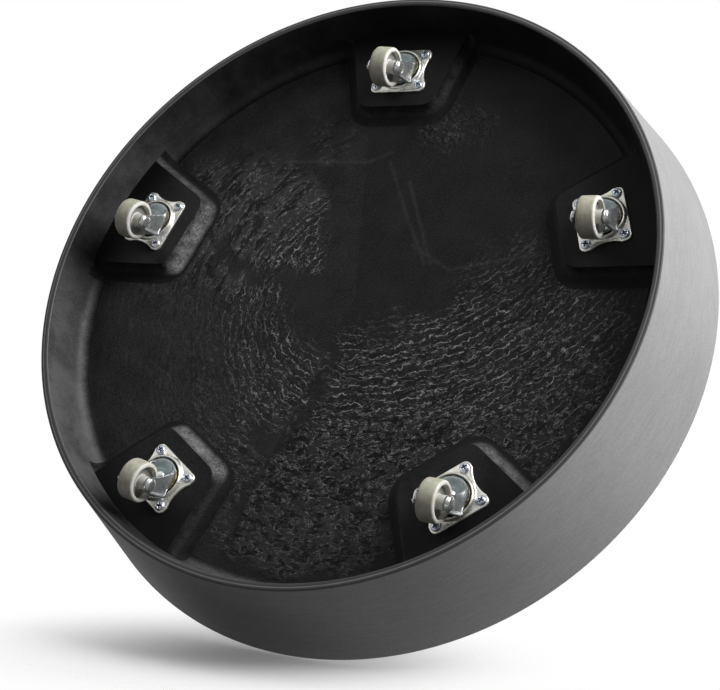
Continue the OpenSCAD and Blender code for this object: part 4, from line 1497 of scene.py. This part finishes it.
roll_faces = lathe_faces(GREASE_STEPS, GREASE_ROUND)
roll_faces += end_faces((GREASE_STEPS - 1) * GREASE_ROUND, GREASE_ROUND)
grease_faces = roll_faces + shifted(roll_faces, GREASE_STEPS * GREASE_ROUND)
for k in range(CASTERS):
    places = np.concatenate([grease_roll(NEAR_SEED + k), grease_roll(AWAY_SEED + k) * (1.0, -1.0, 1.0)])
    caster_piece(k, "grease", places, grease_faces, "swivel")
print("grease along the arms of each fork:", len(grease_faces), "faces")

# %% [markdown]
# ## Zinc and steel
# The sheet parts are zinc plated, which is bright but never even: crystals and handling leave cloudy
# patches, and the yellow or blue rinse after plating tints it. One recipe makes them all, a metal with
# two tints mixed by cloudy noise, uneven roughness and very fine pressing marks.

# %% Plated metal
def plated(name, dull, bright, rough, size_mm=5.0, metal=0.8):
    """A plated metal of two tints: its shader, coordinates, and the tint as a strand."""
    shader, place = start_finish(name, Metallic=metal)
    clouds = grain(place, size_mm, detail=5.0, rough=0.65)
    spangle = grain(place, 0.55, detail=2.0)
    marks = grain(stretched(place, 1.0, 0.12, 1.0), 0.35, detail=2.0)
    share = (clouds * 0.75 + spangle * 0.25).step(0.34, 0.62)
    feed(
        shader,
        Roughness=(clouds * 0.5 + marks * 0.5).step(0.3, 0.7).between(*rough),
        Normal=relief(clouds * 0.5 + marks * 0.3 + spangle * 0.2, 0.04, 0.4),
    )
    return shader, place, share.tint(rgb(*dull), rgb(*bright))


shader, place, tint = plated("zinc_yellowish", (0.66, 0.65, 0.57), (0.92, 0.915, 0.86), (0.22, 0.4))
ring_here = stored(place, "ring")
foot = ring_here.step(1.16, 1.22) * (1.0 - ring_here.step(1.23, 1.32))
stain = grain(place, 7.0, detail=3.0).step(0.5, 0.7)
tint = (foot * stain * 0.45).tint(tint, rgb(0.38, 0.33, 0.2))
tint = ((1.0 - ring_here.step(0.98, 1.0)) * 0.8).tint(tint, rgb(0.08, 0.06, 0.03))
feed(shader, Base_Color=tint)

shader, place, tint = plated("zinc_bluish", (0.36, 0.385, 0.39), (0.50, 0.52, 0.525), (0.24, 0.4), metal=0.75)
crown_here, out_here = stored(place, "crown"), stored(place, "out")
# The crown has the blue rinse's teal, painted darker towards its middle as a reflection of the dark wheel.
teal_tint_and_shade = crown_here * (0.45 + 0.45 * (1.0 - out_here.step(0.6, 0.95)))
feed(shader, Base_Color=(teal_tint_and_shade * 0.75).tint(tint, rgb(0.13, 0.20, 0.205)))

shader, _, tint = plated("zinc_pin", (0.55, 0.56, 0.56), (0.86, 0.86, 0.85), (0.16, 0.3), metal=0.85)
feed(shader, Base_Color=tint)
shader, _, tint = plated("ball_steel", (0.50, 0.50, 0.50), (0.80, 0.80, 0.80), (0.10, 0.22), 2.0)
feed(shader, Base_Color=tint)

shader, place, tint = plated("zinc_screws", (0.34, 0.42, 0.56), (0.78, 0.83, 0.90), (0.18, 0.38), 2.5)
cross_here = stored(place, "cross")
# Painted shade: the cross recess is nearly black and not metal.
tint = cross_here.step(0.25, 0.8).tint(tint, rgb(0.012, 0.014, 0.02))
feed(shader, Base_Color=tint, Metallic=0.85 - cross_here.step(0.3, 0.9) * 0.85)
print("metals:", [n for n in finishes if n.startswith(("zinc", "ball"))])

# %% [markdown]
# ## Nylon and grease
# The wheels have rolled a little: the tread is dulled to an olive beige with darker streaks round it,
# while the sides stay paler. Grease is dark where thick and golden where a film of it catches light.

# %% Wheel and grease finishes
shader, place = start_finish("nylon", Specular_IOR_Level=0.35)
far_here, along_here, turn_x, turn_y = (stored(place, n) for n in ("far", "along", "turn_x", "turn_y"))
wound = {"X": turn_x * 0.012, "Y": turn_y * 0.012, "Z": along_here * 0.06}
streaks = grain(place.add("ShaderNodeCombineXYZ", None, wound), 6.0, detail=4.0, rough=0.65)
smudge = grain(place, 4.0, detail=4.0)
tread = far_here.step(0.955, 0.99)
dirt = (streaks * 0.4 + smudge * 0.6).step(0.34, 0.66)
base = dirt.tint(rgb(0.66, 0.65, 0.58), rgb(0.80, 0.79, 0.74))
base = tread.tint(base, dirt.tint(rgb(0.43, 0.405, 0.31), rgb(0.58, 0.56, 0.47)))
# Painted shade: the web, deep between ring and hub, is dark. The hub is a darker grey.
web = far_here.step(0.36, 0.42) * (1.0 - far_here.step(0.72, 0.79))
base = (web * 0.8).tint(base, rgb(0.20, 0.195, 0.175))
base = ((1.0 - far_here.step(0.33, 0.37)) * 0.6).tint(base, rgb(0.34, 0.335, 0.31))
feed(
    shader,
    Base_Color=base,
    Roughness=(streaks * 0.6 + smudge * 0.4).between(0.38, 0.62),
    Normal=relief(streaks * tread * 0.7 + smudge * 0.3, 0.12, 0.5),
)

shader, place = start_finish("brown_grease", Specular_IOR_Level=0.6)
blots = grain(place, 1.5, detail=3.0)
feed(
    shader,
    Base_Color=blots.step(0.42, 0.66).tint(rgb(0.012, 0.010, 0.005), rgb(0.34, 0.26, 0.08)),
    Roughness=blots.between(0.2, 0.5),
    Normal=relief(blots, 0.2, 0.6),
)
print("wheel and grease finishes ready")

# %% [markdown]
# ## Dressing the pieces
# Every piece gets its finish by its name. The rivets and balls of the solid model are right as they
# are and only need their metal.

# %% Dress every piece
finish_of = {
    "pressed_plate": "zinc_yellowish", "pressed_fork": "zinc_bluish", "riveted_axle": "zinc_pin",
    "turned_wheel": "nylon", "cross_screws": "zinc_screws", "grease": "brown_grease",
    "king_rivet": "zinc_pin", "balls": "ball_steel",
}


def dress(piece, finish):
    """Gives a piece one finish and no other."""
    piece.data.materials.clear()
    piece.data.materials.append(finishes[finish])


for piece in scene.objects:
    ending = piece.name.split("_", 2)[-1]
    if piece.type == "MESH" and piece.name.startswith("caster_") and ending in finish_of:
        dress(piece, finish_of[ending])
for name, node in nodes.items():
    if not node.data.materials or name.endswith(("top_plate", "fork", "axle", "wheel", "screws")):
        dress(node, "zinc_pin")
dress(nodes["tray"], "tray_wall")
